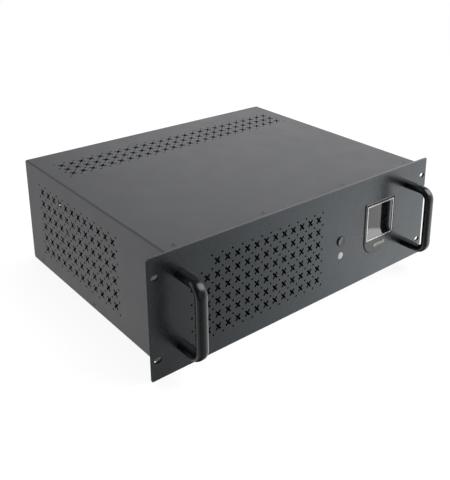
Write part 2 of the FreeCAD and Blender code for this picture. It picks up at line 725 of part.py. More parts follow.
def fan_frame():
    """Square frame with a round duct; four arms carry the hub and its boss."""
    half = FAN_SIZE / 2
    place = upright(FAN_FRONT)
    spots = [(dx, dz) for dx in (-FAN_HOLE_SPACING / 2, FAN_HOLE_SPACING / 2)
             for dz in (-FAN_HOLE_SPACING / 2, FAN_HOLE_SPACING / 2)]
    holes = [round_hole(FAN_X, FAN_Z, FAN_BORE_RADIUS, place)]
    holes += [round_hole(FAN_X + dx, FAN_Z + dz, FAN_HOLE_RADIUS, place) for dx, dz in spots]
    body = sheet(rectangle(FAN_X - half, FAN_X + half, FAN_Z - half, FAN_Z + half, 4.0, place), holes,
                 V(0, FAN_DEEP, 0))
    arm_deep = 3.0
    arm_half = 2.0
    rear = COVER_DEPTH
    hub = rod_y(FAN_X, FAN_Z, FAN_HUB_RADIUS, rear - arm_deep, rear)
    boss = rod_y(FAN_X, FAN_Z, FAN_BOSS_RADIUS, FAN_FRONT + 6, rear - arm_deep)
    arms = []
    for quarter in range(4):
        arm = box(FAN_X + FAN_HUB_RADIUS - 2, FAN_X + FAN_BORE_RADIUS + 1, rear - arm_deep, rear,
                  FAN_Z - arm_half, FAN_Z + arm_half)
        arm.rotate(V(FAN_X, 0, FAN_Z), REARWARD, 45 + 90 * quarter)
        arms.append(arm)
    bore = rod_y(FAN_X, FAN_Z, BEARING_RADIUS, FAN_FRONT, rear - 1)
    return fused([body, hub, boss] + arms).cut(bore)


def fan_bearing():
    """Plain sleeve bearing pressed into the boss."""
    deep = FAN_DEEP - 11
    sleeve = ring(BEARING_RADIUS, FAN_SHAFT_RADIUS + FAN_SHAFT_CLEARANCE, deep)
    return aimed(sleeve, V(FAN_X, FAN_FRONT + 7, FAN_Z), REARWARD)


def fan_stator():
    """Laminated star with windings, on the boss inside the rotor's cup."""
    stator = ring(FAN_HUB_RADIUS - 3.5, FAN_BOSS_RADIUS, 9.0)
    return aimed(stator, V(FAN_X, FAN_FRONT + 10, FAN_Z), REARWARD)


def fan_rotor():
    """Cup with a shaft and twisted blades."""
    cup_front = FAN_FRONT + 2
    cup_rear = COVER_DEPTH - 4.5
    tip_radius = FAN_BORE_RADIUS - 1.0
    cup = rod_y(FAN_X, FAN_Z, FAN_HUB_RADIUS, cup_front, cup_rear)
    hollow = rod_y(FAN_X, FAN_Z, FAN_HUB_RADIUS - 2, cup_front + 2, cup_rear + 1)
    shaft = rod_y(FAN_X, FAN_Z, FAN_SHAFT_RADIUS, cup_front + 1, COVER_DEPTH - 6)
    blade_deep = 17.0
    sweep = 30.0
    blades = []
    for index in range(FAN_BLADES):
        blade = fan_blade(tip_radius, blade_deep, sweep)
        blade.rotate(V(0, 0, 0), UP, 360.0 * index / FAN_BLADES)
        blades.append(aimed(blade, V(FAN_X, cup_front + 1.5, FAN_Z), REARWARD))
    return fused([cup.cut(hollow), shaft] + blades)


def fan_blade(tip_radius, deep, sweep):
    """One blade about +Z: a ruled surface between two radial lines, thickened."""
    root = FAN_HUB_RADIUS - 1.0
    half_thick = 0.7
    sections = []
    steps = 4
    for step in range(steps + 1):
        part_way = step / steps
        angle = math.radians(sweep * (part_way - 0.5))
        radial = V(math.cos(angle), math.sin(angle), 0)
        across = V(-math.sin(angle), math.cos(angle), 0) * half_thick
        rise = V(0, 0, deep * part_way)
        corners = [radial * root - across + rise, radial * tip_radius - across + rise,
                   radial * tip_radius + across + rise, radial * root + across + rise]
        sections.append(Part.makePolygon(corners + corners[:1]))
    return Part.makeLoft(sections, True, True)


def fan_guard():
    """Wire rings on two crossing wires, with a screw eye at each corner."""
    wire = 0.9
    ring_y = CASE_DEPTH + wire
    arm_y = CASE_DEPTH + GUARD_THICK - wire
    rings = [Part.makeTorus(radius, wire, V(FAN_X, ring_y, FAN_Z), REARWARD) for radius in (13, 20, 27, 34)]
    half = FAN_HOLE_SPACING / 2
    arms = []
    eyes = []
    for sx in (-1, 1):
        start = V(FAN_X - sx * half * 0.93, arm_y, FAN_Z - half * 0.93)
        end = V(FAN_X + sx * half * 0.93, arm_y, FAN_Z + half * 0.93)
        arms.append(Part.makeCylinder(wire, (end - start).Length, start, end - start))
    for dx in (-half, half):
        for dz in (-half, half):
            eye = ring(4.2, FAN_HOLE_RADIUS, GUARD_THICK)
            eyes.append(aimed(eye, V(FAN_X + dx, CASE_DEPTH, FAN_Z + dz), REARWARD))
    return fused(rings + arms + eyes)


def fan_screws():
    screw = pan_screw(3.8, 2.2, FAN_HOLE_RADIUS - 0.15, 16.0)
    half = FAN_HOLE_SPACING / 2
    head_y = CASE_DEPTH + GUARD_THICK
    return [aimed(screw, V(FAN_X + dx, head_y, FAN_Z + dz), REARWARD)
            for dx in (-half, half) for dz in (-half, half)]


# ---------------------------------------------------------------- rear sockets and ports

INLET_EAR = 20.0
INLET_FLANGE = 2.5
SOCKET_CHAMFER = 5.0
SOCKET_DEEP = 24.0
PIN_SPACING = 7.0
BREAKER_NECK_RADIUS = 5.5
BREAKER_BUTTON_RADIUS = 3.6
USB_OPENING = (PORTS_X - 6.2, PORTS_X + 6.2, -30.0, -18.5)
NETWORK_OPENINGS = [(PORTS_X - 8.0, PORTS_X + 8.0, -6.0, 8.0), (PORTS_X - 8.0, PORTS_X + 8.0, 14.0, 28.0)]
COMM_BOARD = (PORTS_X - 20.0, PORTS_X + 20.0, -42.0, 40.0)
COMM_BOARD_Y = CASE_DEPTH - 25.0
EARTH_X = 194.0
EARTH_Z = -24.0


def socket_outline(x, z, gap, place):
    """Cut-out for a mains socket: a rectangle with its two upper corners cut off."""
    half_wide = OUTLET_WIDTH / 2 - 1.5 + gap
    half_high = OUTLET_HEIGHT / 2 - 6.0 + gap
    cut = SOCKET_CHAMFER
    points = [(x - half_wide, z - half_high), (x + half_wide, z - half_high),
              (x + half_wide, z + half_high - cut), (x + half_wide - cut, z + half_high),
              (x - half_wide + cut, z + half_high), (x - half_wide, z + half_high - cut)]
    return outline(points, [1.0] * 6, place)


def pin_spots(x, z):
    """Contact centres of one socket: two live contacts below and the earth above."""
    return [(x - PIN_SPACING, z - 2.0), (x + PIN_SPACING, z - 2.0), (x, z + 2.0)]


def outlet_socket(x, z):
    """Outlet: flange on the panel, body behind it, plug groove around the contact block."""
    flange = sheet(rectangle(x - OUTLET_WIDTH / 2, x + OUTLET_WIDTH / 2, z - OUTLET_HEIGHT / 2 + 4,
                             z + OUTLET_HEIGHT / 2 - 4, 2.0, upright(CASE_DEPTH)), [], V(0, 2.0, 0))
    body = sheet(socket_outline(x, z, 0, upright(CASE_DEPTH - SOCKET_DEEP)), [], V(0, SOCKET_DEEP, 0))
    groove = sheet(socket_outline(x, z, -1.2, upright(CASE_DEPTH - 14)),
                   [socket_outline(x, z, -3.4, upright(CASE_DEPTH - 14))], V(0, 17, 0))
    shape = flange.fuse(body).cut(groove)
    for pin_x, pin_z in pin_spots(x, z):
        slit = box(pin_x - 1.1, pin_x + 1.1, CASE_DEPTH - 12, CASE_DEPTH + 3, pin_z - 2.3, pin_z + 2.3)
        shape = shape.cut(slit)
    return shape


def outlet_sockets():
    return [outlet_socket(x, z) for x in OUTLET_X for z in OUTLET_Z]


def mains_inlet():
    """Inlet: flange with two screw ears, body behind it and a deep plug recess."""
    x = INLET_X
    z = INLET_Z
    place = upright(CASE_DEPTH)
    ears = [round_hole(x, z + dz, M3_HOLE_RADIUS, place) for dz in (-INLET_EAR, INLET_EAR)]
    flange = sheet(rectangle(x - OUTLET_WIDTH / 2 - 1, x + OUTLET_WIDTH / 2 + 1, z - INLET_EAR - 5,
                             z + INLET_EAR + 5, 4.0, place), ears, V(0, INLET_FLANGE, 0))
    body = sheet(socket_outline(x, z, 0, upright(CASE_DEPTH - SOCKET_DEEP)), [], V(0, SOCKET_DEEP, 0))
    recess = sheet(socket_outline(x, z, -1.5, upright(CASE_DEPTH - 15)), [], V(0, 19, 0))
    shape = flange.fuse(body).cut(recess)
    for pin_x, pin_z in pin_spots(x, z):
        shape = shape.cut(box(pin_x - 1.0, pin_x + 1.0, CASE_DEPTH - SOCKET_DEEP - 1, CASE_DEPTH - 14,
                              pin_z - 2.0, pin_z + 2.0))
    return shape


def inlet_pins():
    """Three flat pins through the back of the inlet."""
    inner_y = CASE_DEPTH - SOCKET_DEEP - 6
    return [box(x - 1.0, x + 1.0, inner_y, CASE_DEPTH - 3, z - 2.0, z + 2.0)
            for x, z in pin_spots(INLET_X, INLET_Z)]


def breaker_body():
    """Resettable breaker: box behind the panel and a threaded neck through it."""
    rear = COVER_DEPTH
    body = box(BREAKER_X - 7, BREAKER_X + 7, rear - 26, rear, BREAKER_Z - 9, BREAKER_Z + 9)
    neck = rod_y(BREAKER_X, BREAKER_Z, BREAKER_NECK_RADIUS, rear, CASE_DEPTH + 7)
    bore = rod_y(BREAKER_X, BREAKER_Z, BREAKER_BUTTON_RADIUS + 0.08, rear - 12, CASE_DEPTH + 8)
    return body.fuse(neck).cut(bore)


def breaker_nut():
    nut = hex_nut(15.0, BREAKER_NECK_RADIUS + 0.05, 3.0)
    return aimed(nut, V(BREAKER_X, CASE_DEPTH, BREAKER_Z), REARWARD)


def breaker_button():
    """Reset button, pushed in at rest; it springs out when the breaker trips."""
    tip = CASE_DEPTH + 10
    button = rod_y(BREAKER_X, BREAKER_Z, BREAKER_BUTTON_RADIUS, COVER_DEPTH - 11, tip)
    rim = [edge for edge in button.Edges if edge.BoundBox.YMin > tip - TINY]
    return button.makeFillet(0.8, rim)


def usb_port():
    """Square data port with its contact tongue."""
    x0, x1, z0, z1 = USB_OPENING
    wall = 0.5
    front = COMM_BOARD_Y + BOARD_THICK
    shell = box(x0, x1, front, CASE_DEPTH + 0.6, z0, z1)
    hollow = box(x0 + wall, x1 - wall, front + 3, CASE_DEPTH + 2, z0 + wall, z1 - wall)
    tongue = box(x0 + 3.2, x1 - 3.2, front + 2, CASE_DEPTH - 1, z0 + 3.8, z1 - 3.8)
    return shell.cut(hollow).fuse(tongue)


def network_ports():
    """Two telephone-line or network protection jacks with a latch notch."""
    ports = []
    front = COMM_BOARD_Y + BOARD_THICK
    for x0, x1, z0, z1 in NETWORK_OPENINGS:
        body = box(x0, x1, front, CASE_DEPTH + 0.8, z0, z1)
        mouth = box(x0 + 2, x1 - 2, front + 6, CASE_DEPTH + 2, z0 + 4, z1 - 2)
        notch = box(x0 + 5, x1 - 5, front + 6, CASE_DEPTH + 2, z0 + 1.5, z0 + 4.5)
        ports.append(body.cut(mouth).cut(notch))
    return ports


def comm_board():
    """Upright circuit board that carries the data port and the jacks."""
    return circuit_board(COMM_BOARD, COMM_BOARD_Y)


def earth_terminal():
    """Earth terminal: stud with a collar inside the rear panel, and a nut outside."""
    stud = rod_y(EARTH_X, EARTH_Z, STUD_RADIUS, COVER_DEPTH - 3, CASE_DEPTH + 9)
    collar = rod_y(EARTH_X, EARTH_Z, 4.5, COVER_DEPTH - 3, COVER_DEPTH)
    nut = aimed(hex_nut(7.0, STUD_RADIUS + 0.05, 3.2), V(EARTH_X, CASE_DEPTH, EARTH_Z), REARWARD)
    return [stud.fuse(collar), nut]


# ---------------------------------------------------------------- transformer

CORE_LIMB = 16.0
BRACKET_THICK = 2.0
BRACKET_FOOT = 14.0


def transformer_core():
    """Stack of laminations with two windows around the middle limb."""
    x1 = CORE_X + CORE_WIDTH
    y1 = CORE_Y + CORE_DEEP
    z0 = FLOOR
    stack = box(CORE_X, x1, CORE_Y, y1, z0, z0 + CORE_HIGH)
    for x in (CORE_X + CORE_LIMB, CORE_X + CORE_WIDTH / 2 + CORE_LIMB):
        window_width = CORE_WIDTH / 2 - 2 * CORE_LIMB
        stack = stack.cut(box(x, x + window_width, CORE_Y - 1, y1 + 1, z0 + CORE_LIMB,
                              z0 + CORE_HIGH - CORE_LIMB))
    return stack


def transformer_winding():
    """Wound coil around the middle limb, swelling out in front of and behind the core."""
    middle = CORE_X + CORE_WIDTH / 2
    half_window = CORE_WIDTH / 2 - CORE_LIMB
    swell = 14.0
    gap = 0.4
    z0 = FLOOR + CORE_LIMB + gap
    z1 = FLOOR + CORE_HIGH - CORE_LIMB - gap
    place = level(z0)
    outer = rectangle(middle - half_window + gap, middle + half_window - gap, CORE_Y - swell,
                      CORE_Y + CORE_DEEP + swell, 9.0, place)
    limb = rectangle(middle - CORE_LIMB - gap, middle + CORE_LIMB + gap, CORE_Y - gap,
                     CORE_Y + CORE_DEEP + gap, 1.0, place)
    return sheet(outer, [limb], V(0, 0, z1 - z0))


def transformer_bracket():
    """Strap over the core with a foot at each side."""
    y0 = CORE_Y + 20
    y1 = CORE_Y + CORE_DEEP - 20
    x0 = CORE_X - BRACKET_THICK
    x1 = CORE_X + CORE_WIDTH + BRACKET_THICK
    top = FLOOR + CORE_HIGH + BRACKET_THICK
    pieces = [box(x0, x1, y0, y1, top - BRACKET_THICK, top),
              box(x0, x0 + BRACKET_THICK, y0, y1, FLOOR, top),
              box(x1 - BRACKET_THICK, x1, y0, y1, FLOOR, top),
              box(x0 - BRACKET_FOOT, x0, y0, y1, FLOOR, FLOOR + BRACKET_THICK),
              box(x1, x1 + BRACKET_FOOT, y0, y1, FLOOR, FLOOR + BRACKET_THICK)]
    strap = fused(pieces)
    for x, y in transformer_feet():
        strap = strap.cut(rod_z(x, y, 2.2, FLOOR - 1, FLOOR + BRACKET_THICK + 1))
    return strap


def transformer_feet():
    y = CORE_Y + CORE_DEEP / 2
    reach = BRACKET_THICK + BRACKET_FOOT / 2
    return [(CORE_X - reach, y), (CORE_X + CORE_WIDTH + reach, y)]


# ---------------------------------------------------------------- batteries

BATTERY_PAN = 1.5
LID_HIGH = 5.0
TERMINAL_INSET = 9.0
STRAP_X = (108.0, 132.0)
STRAP_THICK = 1.5
STRAP_FOOT = 12.0


def battery(y0):
    """Sealed battery: box with rounded upright edges and a slightly narrower lid."""
    z0 = FLOOR + BATTERY_PAN
    z1 = z0 + BATTERY_HIGH - LID_HIGH
    x0 = BATTERY_X
    x1 = BATTERY_X + BATTERY_LONG
    y1 = y0 + BATTERY_WIDE
    case = sheet(rectangle(x0, x1, y0, y1, 3.0, level(z0)), [], V(0, 0, z1 - z0))
    lid = sheet(rectangle(x0 + 1, x1 - 1, y0 + 1, y1 - 1, 3.0, level(z1)), [], V(0, 0, LID_HIGH))
    return [case, lid]


def terminal_spots():
    """Centres of the spade terminals, two on each battery."""
    return [(x, y0 + TERMINAL_INSET) for y0 in BATTERY_Y
            for x in (BATTERY_X + TERMINAL_INSET, BATTERY_X + BATTERY_LONG - TERMINAL_INSET)]


def battery_terminals():
    z0 = FLOOR + BATTERY_PAN + BATTERY_HIGH
    blades = []
    for x, y in terminal_spots():
        foot = box(x - 3.2, x + 3.2, y - 4, y + 4, z0, z0 + 1)
        blade = box(x - 3.2, x + 3.2, y - 0.4, y + 0.4, z0 + 1, z0 + 8)
        blades.append(foot.fuse(blade))
    return blades


def battery_pan():
    """Shallow pan under both batteries with a low rim."""
    x0 = BATTERY_X - 2
    x1 = BATTERY_X + BATTERY_LONG + 2
    y0 = BATTERY_Y[0] - 1.8
    y1 = BATTERY_Y[1] + BATTERY_WIDE + 1.8
    pan = box(x0, x1, y0, y1, FLOOR, FLOOR + 10)
    hollow = box(x0 + BATTERY_PAN, x1 - BATTERY_PAN, y0 + BATTERY_PAN, y1 - BATTERY_PAN,
                 FLOOR + BATTERY_PAN, FLOOR + 11)
    return pan.cut(hollow)


def battery_strap():
    """Hold-down strap over both batteries, with a foot in front and behind."""
    x0, x1 = STRAP_X
    y0 = BATTERY_Y[0] - 1.8 - STRAP_THICK
    y1 = BATTERY_Y[1] + BATTERY_WIDE + 1.8 + STRAP_THICK
    under = FLOOR + BATTERY_PAN + BATTERY_HIGH
    top = under + STRAP_THICK
    pieces = [box(x0, x1, y0, y1, under, top),
              box(x0, x1, y0, y0 + STRAP_THICK, FLOOR, top),
              box(x0, x1, y1 - STRAP_THICK, y1, FLOOR, top),
              box(x0, x1, y0 - STRAP_FOOT, y0, FLOOR, FLOOR + STRAP_THICK),
              box(x0, x1, y1, y1 + STRAP_FOOT, FLOOR, FLOOR + STRAP_THICK)]
    strap = fused(pieces)
    for x, y in strap_feet():
        strap = strap.cut(rod_z(x, y, 2.2, FLOOR - 1, FLOOR + STRAP_THICK + 1))
    return strap


def strap_feet():
    x = (STRAP_X[0] + STRAP_X[1]) / 2
    reach = 1.8 + STRAP_THICK + STRAP_FOOT / 2
    return [(x, BATTERY_Y[0] - reach), (x, BATTERY_Y[1] + BATTERY_WIDE + reach)]


def floor_screws():
    """Screws through the feet of the transformer's bracket and the batteries' strap."""
    thick_screw = pan_screw(3.8, 2.6, 2.0, BRACKET_THICK)
    thin_screw = pan_screw(3.8, 2.6, 2.0, STRAP_THICK)
    return ([aimed(thick_screw, V(x, y, FLOOR + BRACKET_THICK), UP) for x, y in transformer_feet()]
            + [aimed(thin_screw, V(x, y, FLOOR + STRAP_THICK), UP) for x, y in strap_feet()])


def battery_leads():
    """Positive lead, negative lead and the link between the two batteries."""
    spots = terminal_spots()
    start_z = FLOOR + BATTERY_PAN + BATTERY_HIGH + 8.2
    run_z = start_z + 10
    lead_radius = 1.9
    board_z = BOARD_TOP + 14.5
    near_y = BOARD_Y[0] + 16
    far_y = BOARD_Y[0] + 28
    plug_x = -24.0
    paths = []
    for (x, y), lane_x, lane_y in ((spots[0], 26.0, near_y), (spots[2], 32.0, far_y)):
        paths.append([V(x, y, start_z), V(x, y, run_z), V(lane_x, y, run_z), V(lane_x, lane_y, run_z),
                      V(plug_x, lane_y, run_z), V(plug_x, lane_y, board_z)])
    (x, y_front), (_, y_rear) = spots[1], spots[3]
    paths.append([V(x, y_front, start_z), V(x, y_front, run_z), V(x, y_rear, run_z), V(x, y_rear, start_z)])
    return [swept(path, 5.0, lead_radius) for path in paths]


# ---------------------------------------------------------------- main board

SINK_X = (-200.0, -116.0)
SINK_LONG = 78.0
SINK_HIGH = 44.0
SINK_WEB_Y = BOARD_Y[0] + 98.0
SINK_WEB = 3.0
SINK_FIN_REACH = 16.0
SINK_FINS = 7
TRANSISTORS_PER_SINK = 4


def board_spots():
    """Centres of the main board's spacers: four corners and one in the middle of each long edge."""
    inset = 5.0
    x0, x1 = BOARD_X
    y0, y1 = BOARD_Y
    return [(x, y) for x in (x0 + inset, (x0 + x1) / 2, x1 - inset) for y in (y0 + inset, y1 - inset)]


def main_board():
    place = level(BOARD_LOW)
    holes = [round_hole(x, y, M3_HOLE_RADIUS, place) for x, y in board_spots()]
    outer = rectangle(BOARD_X[0], BOARD_X[1], BOARD_Y[0], BOARD_Y[1], 2.0, place)
    return sheet(outer, holes, V(0, 0, BOARD_THICK))


def board_spacers():
    """Threaded spacers under the main board and behind the panels for the upright boards."""
    bore = M3_RADIUS + 0.05
    spacers = []
    floor_spacer = ring(SPACER_RADIUS, bore, BOARD_STAND)
    for x, y in board_spots():
        spacers.append(aimed(floor_spacer, V(x, y, FLOOR), UP))
    for board, high in ((DISPLAY_BOARD, DISPLAY_STAND), (SWITCH_BOARD, CONTROL_STAND)):
        spacer = ring(SPACER_RADIUS, bore, high)
        spacers += [aimed(spacer, V(x, 0, z), REARWARD) for x, z in spacer_spots(board)]
    comm_front = COMM_BOARD_Y + BOARD_THICK
    comm_spacer = ring(SPACER_RADIUS, bore, COVER_DEPTH - comm_front)
    spacers += [aimed(comm_spacer, V(x, comm_front, z), REARWARD) for x, z in spacer_spots(COMM_BOARD)]
    return spacers


def board_screws():
    """Pan-head screws that hold all four circuit boards to their spacers."""
    screw = pan_screw(M3_HEAD_RADIUS, 2.0, M3_RADIUS, 5.5)
    screws = [aimed(screw, V(x, y, BOARD_TOP), UP) for x, y in board_spots()]
    for board, high in ((DISPLAY_BOARD, DISPLAY_STAND), (SWITCH_BOARD, CONTROL_STAND)):
        screws += [aimed(screw, V(x, high + BOARD_THICK, z), REARWARD) for x, z in spacer_spots(board)]
    screws += [aimed(screw, V(x, COMM_BOARD_Y, z), FORWARD) for x, z in spacer_spots(COMM_BOARD)]
    return screws


def heat_sink(x0):
    """Extruded heat sink: an upright web with level fins on its rear side."""
    web_rear = SINK_WEB_Y + SINK_WEB
    web = box(x0, x0 + SINK_LONG, SINK_WEB_Y, web_rear, BOARD_TOP, BOARD_TOP + SINK_HIGH)
    fin_thick = 1.4
    step = (SINK_HIGH - fin_thick) / (SINK_FINS - 1)
    fins = []
    for index in range(SINK_FINS):
        z = BOARD_TOP + step * index
        fins.append(box(x0, x0 + SINK_LONG, web_rear, web_rear + SINK_FIN_REACH, z, z + fin_thick))
    return fused([web] + fins)


def heat_sinks():
    return [heat_sink(x) for x in SINK_X]


def power_transistors():
    """Flat-backed transistors standing against the heat sinks' webs."""
    step = SINK_LONG / TRANSISTORS_PER_SINK
    pieces = []
    for x0 in SINK_X:
        for index in range(TRANSISTORS_PER_SINK):
            x = x0 + step * (index + 0.5)
            tab = box(x - 5, x + 5, SINK_WEB_Y - 1.3, SINK_WEB_Y, BOARD_TOP + 12, BOARD_TOP + 27)
            body = box(x - 5, x + 5, SINK_WEB_Y - 4.4, SINK_WEB_Y - 1.3, BOARD_TOP + 12, BOARD_TOP + 21)
            leads = [box(x + dx - 0.4, x + dx + 0.4, SINK_WEB_Y - 3.0, SINK_WEB_Y - 2.2, BOARD_TOP,
                         BOARD_TOP + 12) for dx in (-2.5, 0, 2.5)]
            pieces.append(fused([tab, body] + leads))
    return pieces


def capacitors():
    """Row of round capacitors with a groove below the top edge."""
    pieces = []
    radius = 8.0
    high = 32.0
    step = 21.0
    for index in range(6):
        x = BOARD_X[0] + 17.0 + step * index
        can = rod_z(x, BOARD_Y[0] + 72, radius, BOARD_TOP, BOARD_TOP + high)
        rim = [edge for edge in can.Edges if edge.BoundBox.ZMin > BOARD_TOP + high - TINY]
        pieces.append(can.makeFillet(1.0, rim))
    return pieces


def relays():
    """Four sealed relays in a row at the front of the board."""
    pieces = []
    step = 36.0
    for index in range(4):
        x = BOARD_X[0] + 29.0 + step * index
        block = box(x, x + 28, BOARD_Y[0] + 18, BOARD_Y[0] + 31, BOARD_TOP, BOARD_TOP + 20)
        upright_edges = [edge for edge in block.Edges if edge.BoundBox.ZLength > 10]
        pieces.append(block.makeFillet(1.0, upright_edges))
    return pieces


def pulse_transformer():
    """Small ferrite transformer: core halves joined around a bobbin."""
    middle = BOARD_Y[0] + 50
    core = box(-60, -28, middle - 4, middle + 4, BOARD_TOP + 3, BOARD_TOP + 25)
    bobbin = box(-56, -32, middle - 10, middle + 10, BOARD_TOP, BOARD_TOP + 28)
    return fused([core, bobbin])


def board_connectors():
    """Plug housings on the board for the leads, the ribbon and the fan."""
    front = BOARD_Y[0]
    spots = [(-30, -18, 10, 22, 14), (-30, -18, 23, 35, 14), (-120, -96, 38, 46, 12),
             (-84, -72, 118, 128, 10), (-35, -17, 109, 126, 12)]
    return [box(x0, x1, front + y0, front + y1, BOARD_TOP, BOARD_TOP + high)
            for x0, x1, y0, y1, high in spots]


# ---------------------------------------------------------------- wiring inside

def ribbon_cable():
    """Flat cable from the display board to the main board."""
    half_wide = 9.0
    thick = 0.9
    x = -108.0
    x_display = TRIM_CENTRE_X
    y_board = DISPLAY_STAND + BOARD_THICK
    low_z = 10.0
    top_z = 63.0
    y_plug = BOARD_Y[0] + 42
    plug_high = 12.0
    down = box(x_display - half_wide, x_display + half_wide, y_board, y_board + thick, low_z, top_z)
    across = box(x - half_wide, x_display + half_wide, y_board, y_board + 2 * half_wide, top_z, top_z + thick)
    back = box(x - half_wide, x + half_wide, y_board + 2 * half_wide, y_plug, top_z, top_z + thick)
    drop = box(x - half_wide, x + half_wide, y_plug - thick, y_plug, BOARD_TOP + plug_high, top_z)
    return fused([down, across, back, drop])


def mains_cables():
    """Insulated wires from the inlet and the outlets to the main board."""
    radius = 1.6
    wires = []
    board_z = BOARD_TOP + 12.2
    for index, (x, z) in enumerate(pin_spots(INLET_X, INLET_Z)):
        y_start = CASE_DEPTH - SOCKET_DEEP - 6.2
        lane_y = BOARD_Y[0] + 122.0 - 4.5 * index
        drop_x = -21.0 - 5.0 * index
        path = [V(x, y_start, z), V(x, lane_y, z), V(drop_x, lane_y, z), V(drop_x, lane_y, board_z)]
        wires.append(swept(path, 3.0, radius))
    return wires


def fan_cable():
    """Thin cable from the fan to its connector."""
    run_y = FAN_FRONT - 8
    plug_y = BOARD_Y[0] + 123
    path = [V(FAN_X + 30, FAN_FRONT - 0.2, -38), V(FAN_X + 30, run_y, -38), V(-78, run_y, -38),
            V(-78, plug_y, -38), V(-78, plug_y, BOARD_TOP + 10.2)]
    return swept(path, 2.0, 1.3)


# ---------------------------------------------------------------- export

PARTS = {
    "front_panel": front_panel,
    "panel_nuts": panel_nuts,
    "handle_left": lambda: handle(-HANDLE_X),
    "handle_right": lambda: handle(HANDLE_X),
    "handle_fixings": handle_fixings,
    "base_tray": base_tray,
    "top_cover": top_cover,
    "cover_screws": cover_screws,
    "clinch_nuts": clinch_nuts,
    "rear_panel": rear_panel,
    "rear_screws": rear_screws,
    "display_bezel": display_bezel,
    "display_trim": display_trim,
    "display_window": display_window,
    "badge_plate": badge_plate,
    "lcd_module": lcd_module,
    "display_board": display_board,
    "switch_board": switch_board,
    "board_spacers": board_spacers,
    "board_screws": board_screws,
    "power_button": power_button,
    "switch_plunger": switch_plunger,
    "power_switch": power_switch,
    "indicator_lens": indicator_lens,
    "fan_frame": fan_frame,
    "fan_bearing": fan_bearing,
    "fan_stator": fan_stator,
    "fan_rotor": fan_rotor,
    "fan_guard": fan_guard,
    "fan_screws": fan_screws,
    "fan_cable": fan_cable,
    "outlet_sockets": outlet_sockets,
    "mains_inlet": mains_inlet,
    "inlet_pins": inlet_pins,
    "mains_cables": mains_cables,
    "breaker_body": breaker_body,
    "breaker_nut": breaker_nut,
    "breaker_button": breaker_button,
    "usb_port": usb_port,
    "network_ports": network_ports,
    "comm_board": comm_board,
    "earth_terminal": earth_terminal,
    "transformer_core": transformer_core,
    "transformer_winding": transformer_winding,
    "transformer_bracket": transformer_bracket,
    "floor_screws": floor_screws,
    "battery_front": lambda: battery(BATTERY_Y[0]),
    "battery_rear": lambda: battery(BATTERY_Y[1]),
    "battery_terminals": battery_terminals,
    "battery_pan": battery_pan,
    "battery_strap": battery_strap,
    "battery_leads": battery_leads,
    "main_board": main_board,
    "board_connectors": board_connectors,
    "heat_sinks": heat_sinks,
    "power_transistors": power_transistors,
    "capacitors": capacitors,
    "relays": relays,
    "pulse_transformer": pulse_transformer,
    "ribbon_cable": ribbon_cable,
}


def main():
    os.makedirs("parts", exist_ok=True)
    for name, make in PARTS.items():
        shape = make()
        if isinstance(shape, list):
            shape = Part.makeCompound(shape)
        shape.exportStep(os.path.join("parts", name + ".step"))


main()
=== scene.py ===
import math

import bmesh
import bpy
from mathutils import Matrix, Vector


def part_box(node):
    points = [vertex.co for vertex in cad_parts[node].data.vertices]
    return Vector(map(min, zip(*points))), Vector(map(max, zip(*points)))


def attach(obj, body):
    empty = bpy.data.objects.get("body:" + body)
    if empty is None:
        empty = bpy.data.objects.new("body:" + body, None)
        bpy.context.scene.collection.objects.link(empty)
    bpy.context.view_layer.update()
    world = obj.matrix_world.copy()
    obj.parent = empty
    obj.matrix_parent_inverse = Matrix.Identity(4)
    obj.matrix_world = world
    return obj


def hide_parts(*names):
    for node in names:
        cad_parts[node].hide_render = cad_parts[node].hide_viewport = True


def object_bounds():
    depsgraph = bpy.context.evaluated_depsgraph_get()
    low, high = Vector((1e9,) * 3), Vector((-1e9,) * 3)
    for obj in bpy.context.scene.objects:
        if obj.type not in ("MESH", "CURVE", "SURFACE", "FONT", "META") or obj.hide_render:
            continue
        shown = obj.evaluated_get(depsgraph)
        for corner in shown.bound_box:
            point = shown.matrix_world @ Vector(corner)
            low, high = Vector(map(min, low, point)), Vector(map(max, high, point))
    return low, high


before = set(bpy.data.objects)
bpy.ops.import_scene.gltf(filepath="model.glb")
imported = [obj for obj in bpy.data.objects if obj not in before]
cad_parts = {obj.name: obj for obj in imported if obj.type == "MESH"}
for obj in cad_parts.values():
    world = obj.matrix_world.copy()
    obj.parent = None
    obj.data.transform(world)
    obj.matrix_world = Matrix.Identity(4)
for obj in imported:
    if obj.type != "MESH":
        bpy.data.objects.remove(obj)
cad_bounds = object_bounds()

# A rack-mounted uninterruptible power supply.  Everything is in metres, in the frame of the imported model:
# +X right as seen from the front, +Y towards the rear, +Z up, origin behind the front panel.

MM = 0.001


# ---------------------------------------------------------------- node helpers

# A Mix node has sockets of the same name for each kind of value, so its colour sockets are found by number.
MIX_FIRST = 6
MIX_SECOND = 7
MIX_RESULT = 2


def is_socket(value):
    return isinstance(value, bpy.types.NodeSocket)


def feed(tree, socket, value):
    """Joins a socket to another node's output, or gives it a plain value."""
    if is_socket(value):
        tree.links.new(value, socket)
    else:
        socket.default_value = value


def add(tree, kind, inputs=None, **settings):
    """One shader node; inputs may be values or the sockets of other nodes."""
    node = tree.nodes.new(kind)
    for name, value in settings.items():
        setattr(node, name, value)
    for name, value in (inputs or {}).items():
        feed(tree, node.inputs[name], value)
    return node


def calc(tree, operation, *values):
    """A maths node; returns its output."""
    return add(tree, "ShaderNodeMath", dict(enumerate(values)), operation=operation).outputs[0]


def vector_calc(tree, operation, *values):
    """A vector maths node; the caller picks one of its outputs."""
    return add(tree, "ShaderNodeVectorMath", dict(enumerate(values)), operation=operation).outputs


def axes_of(tree, vector):
    """The three parts of a vector, as outputs."""
    return add(tree, "ShaderNodeSeparateXYZ", {0: vector}).outputs


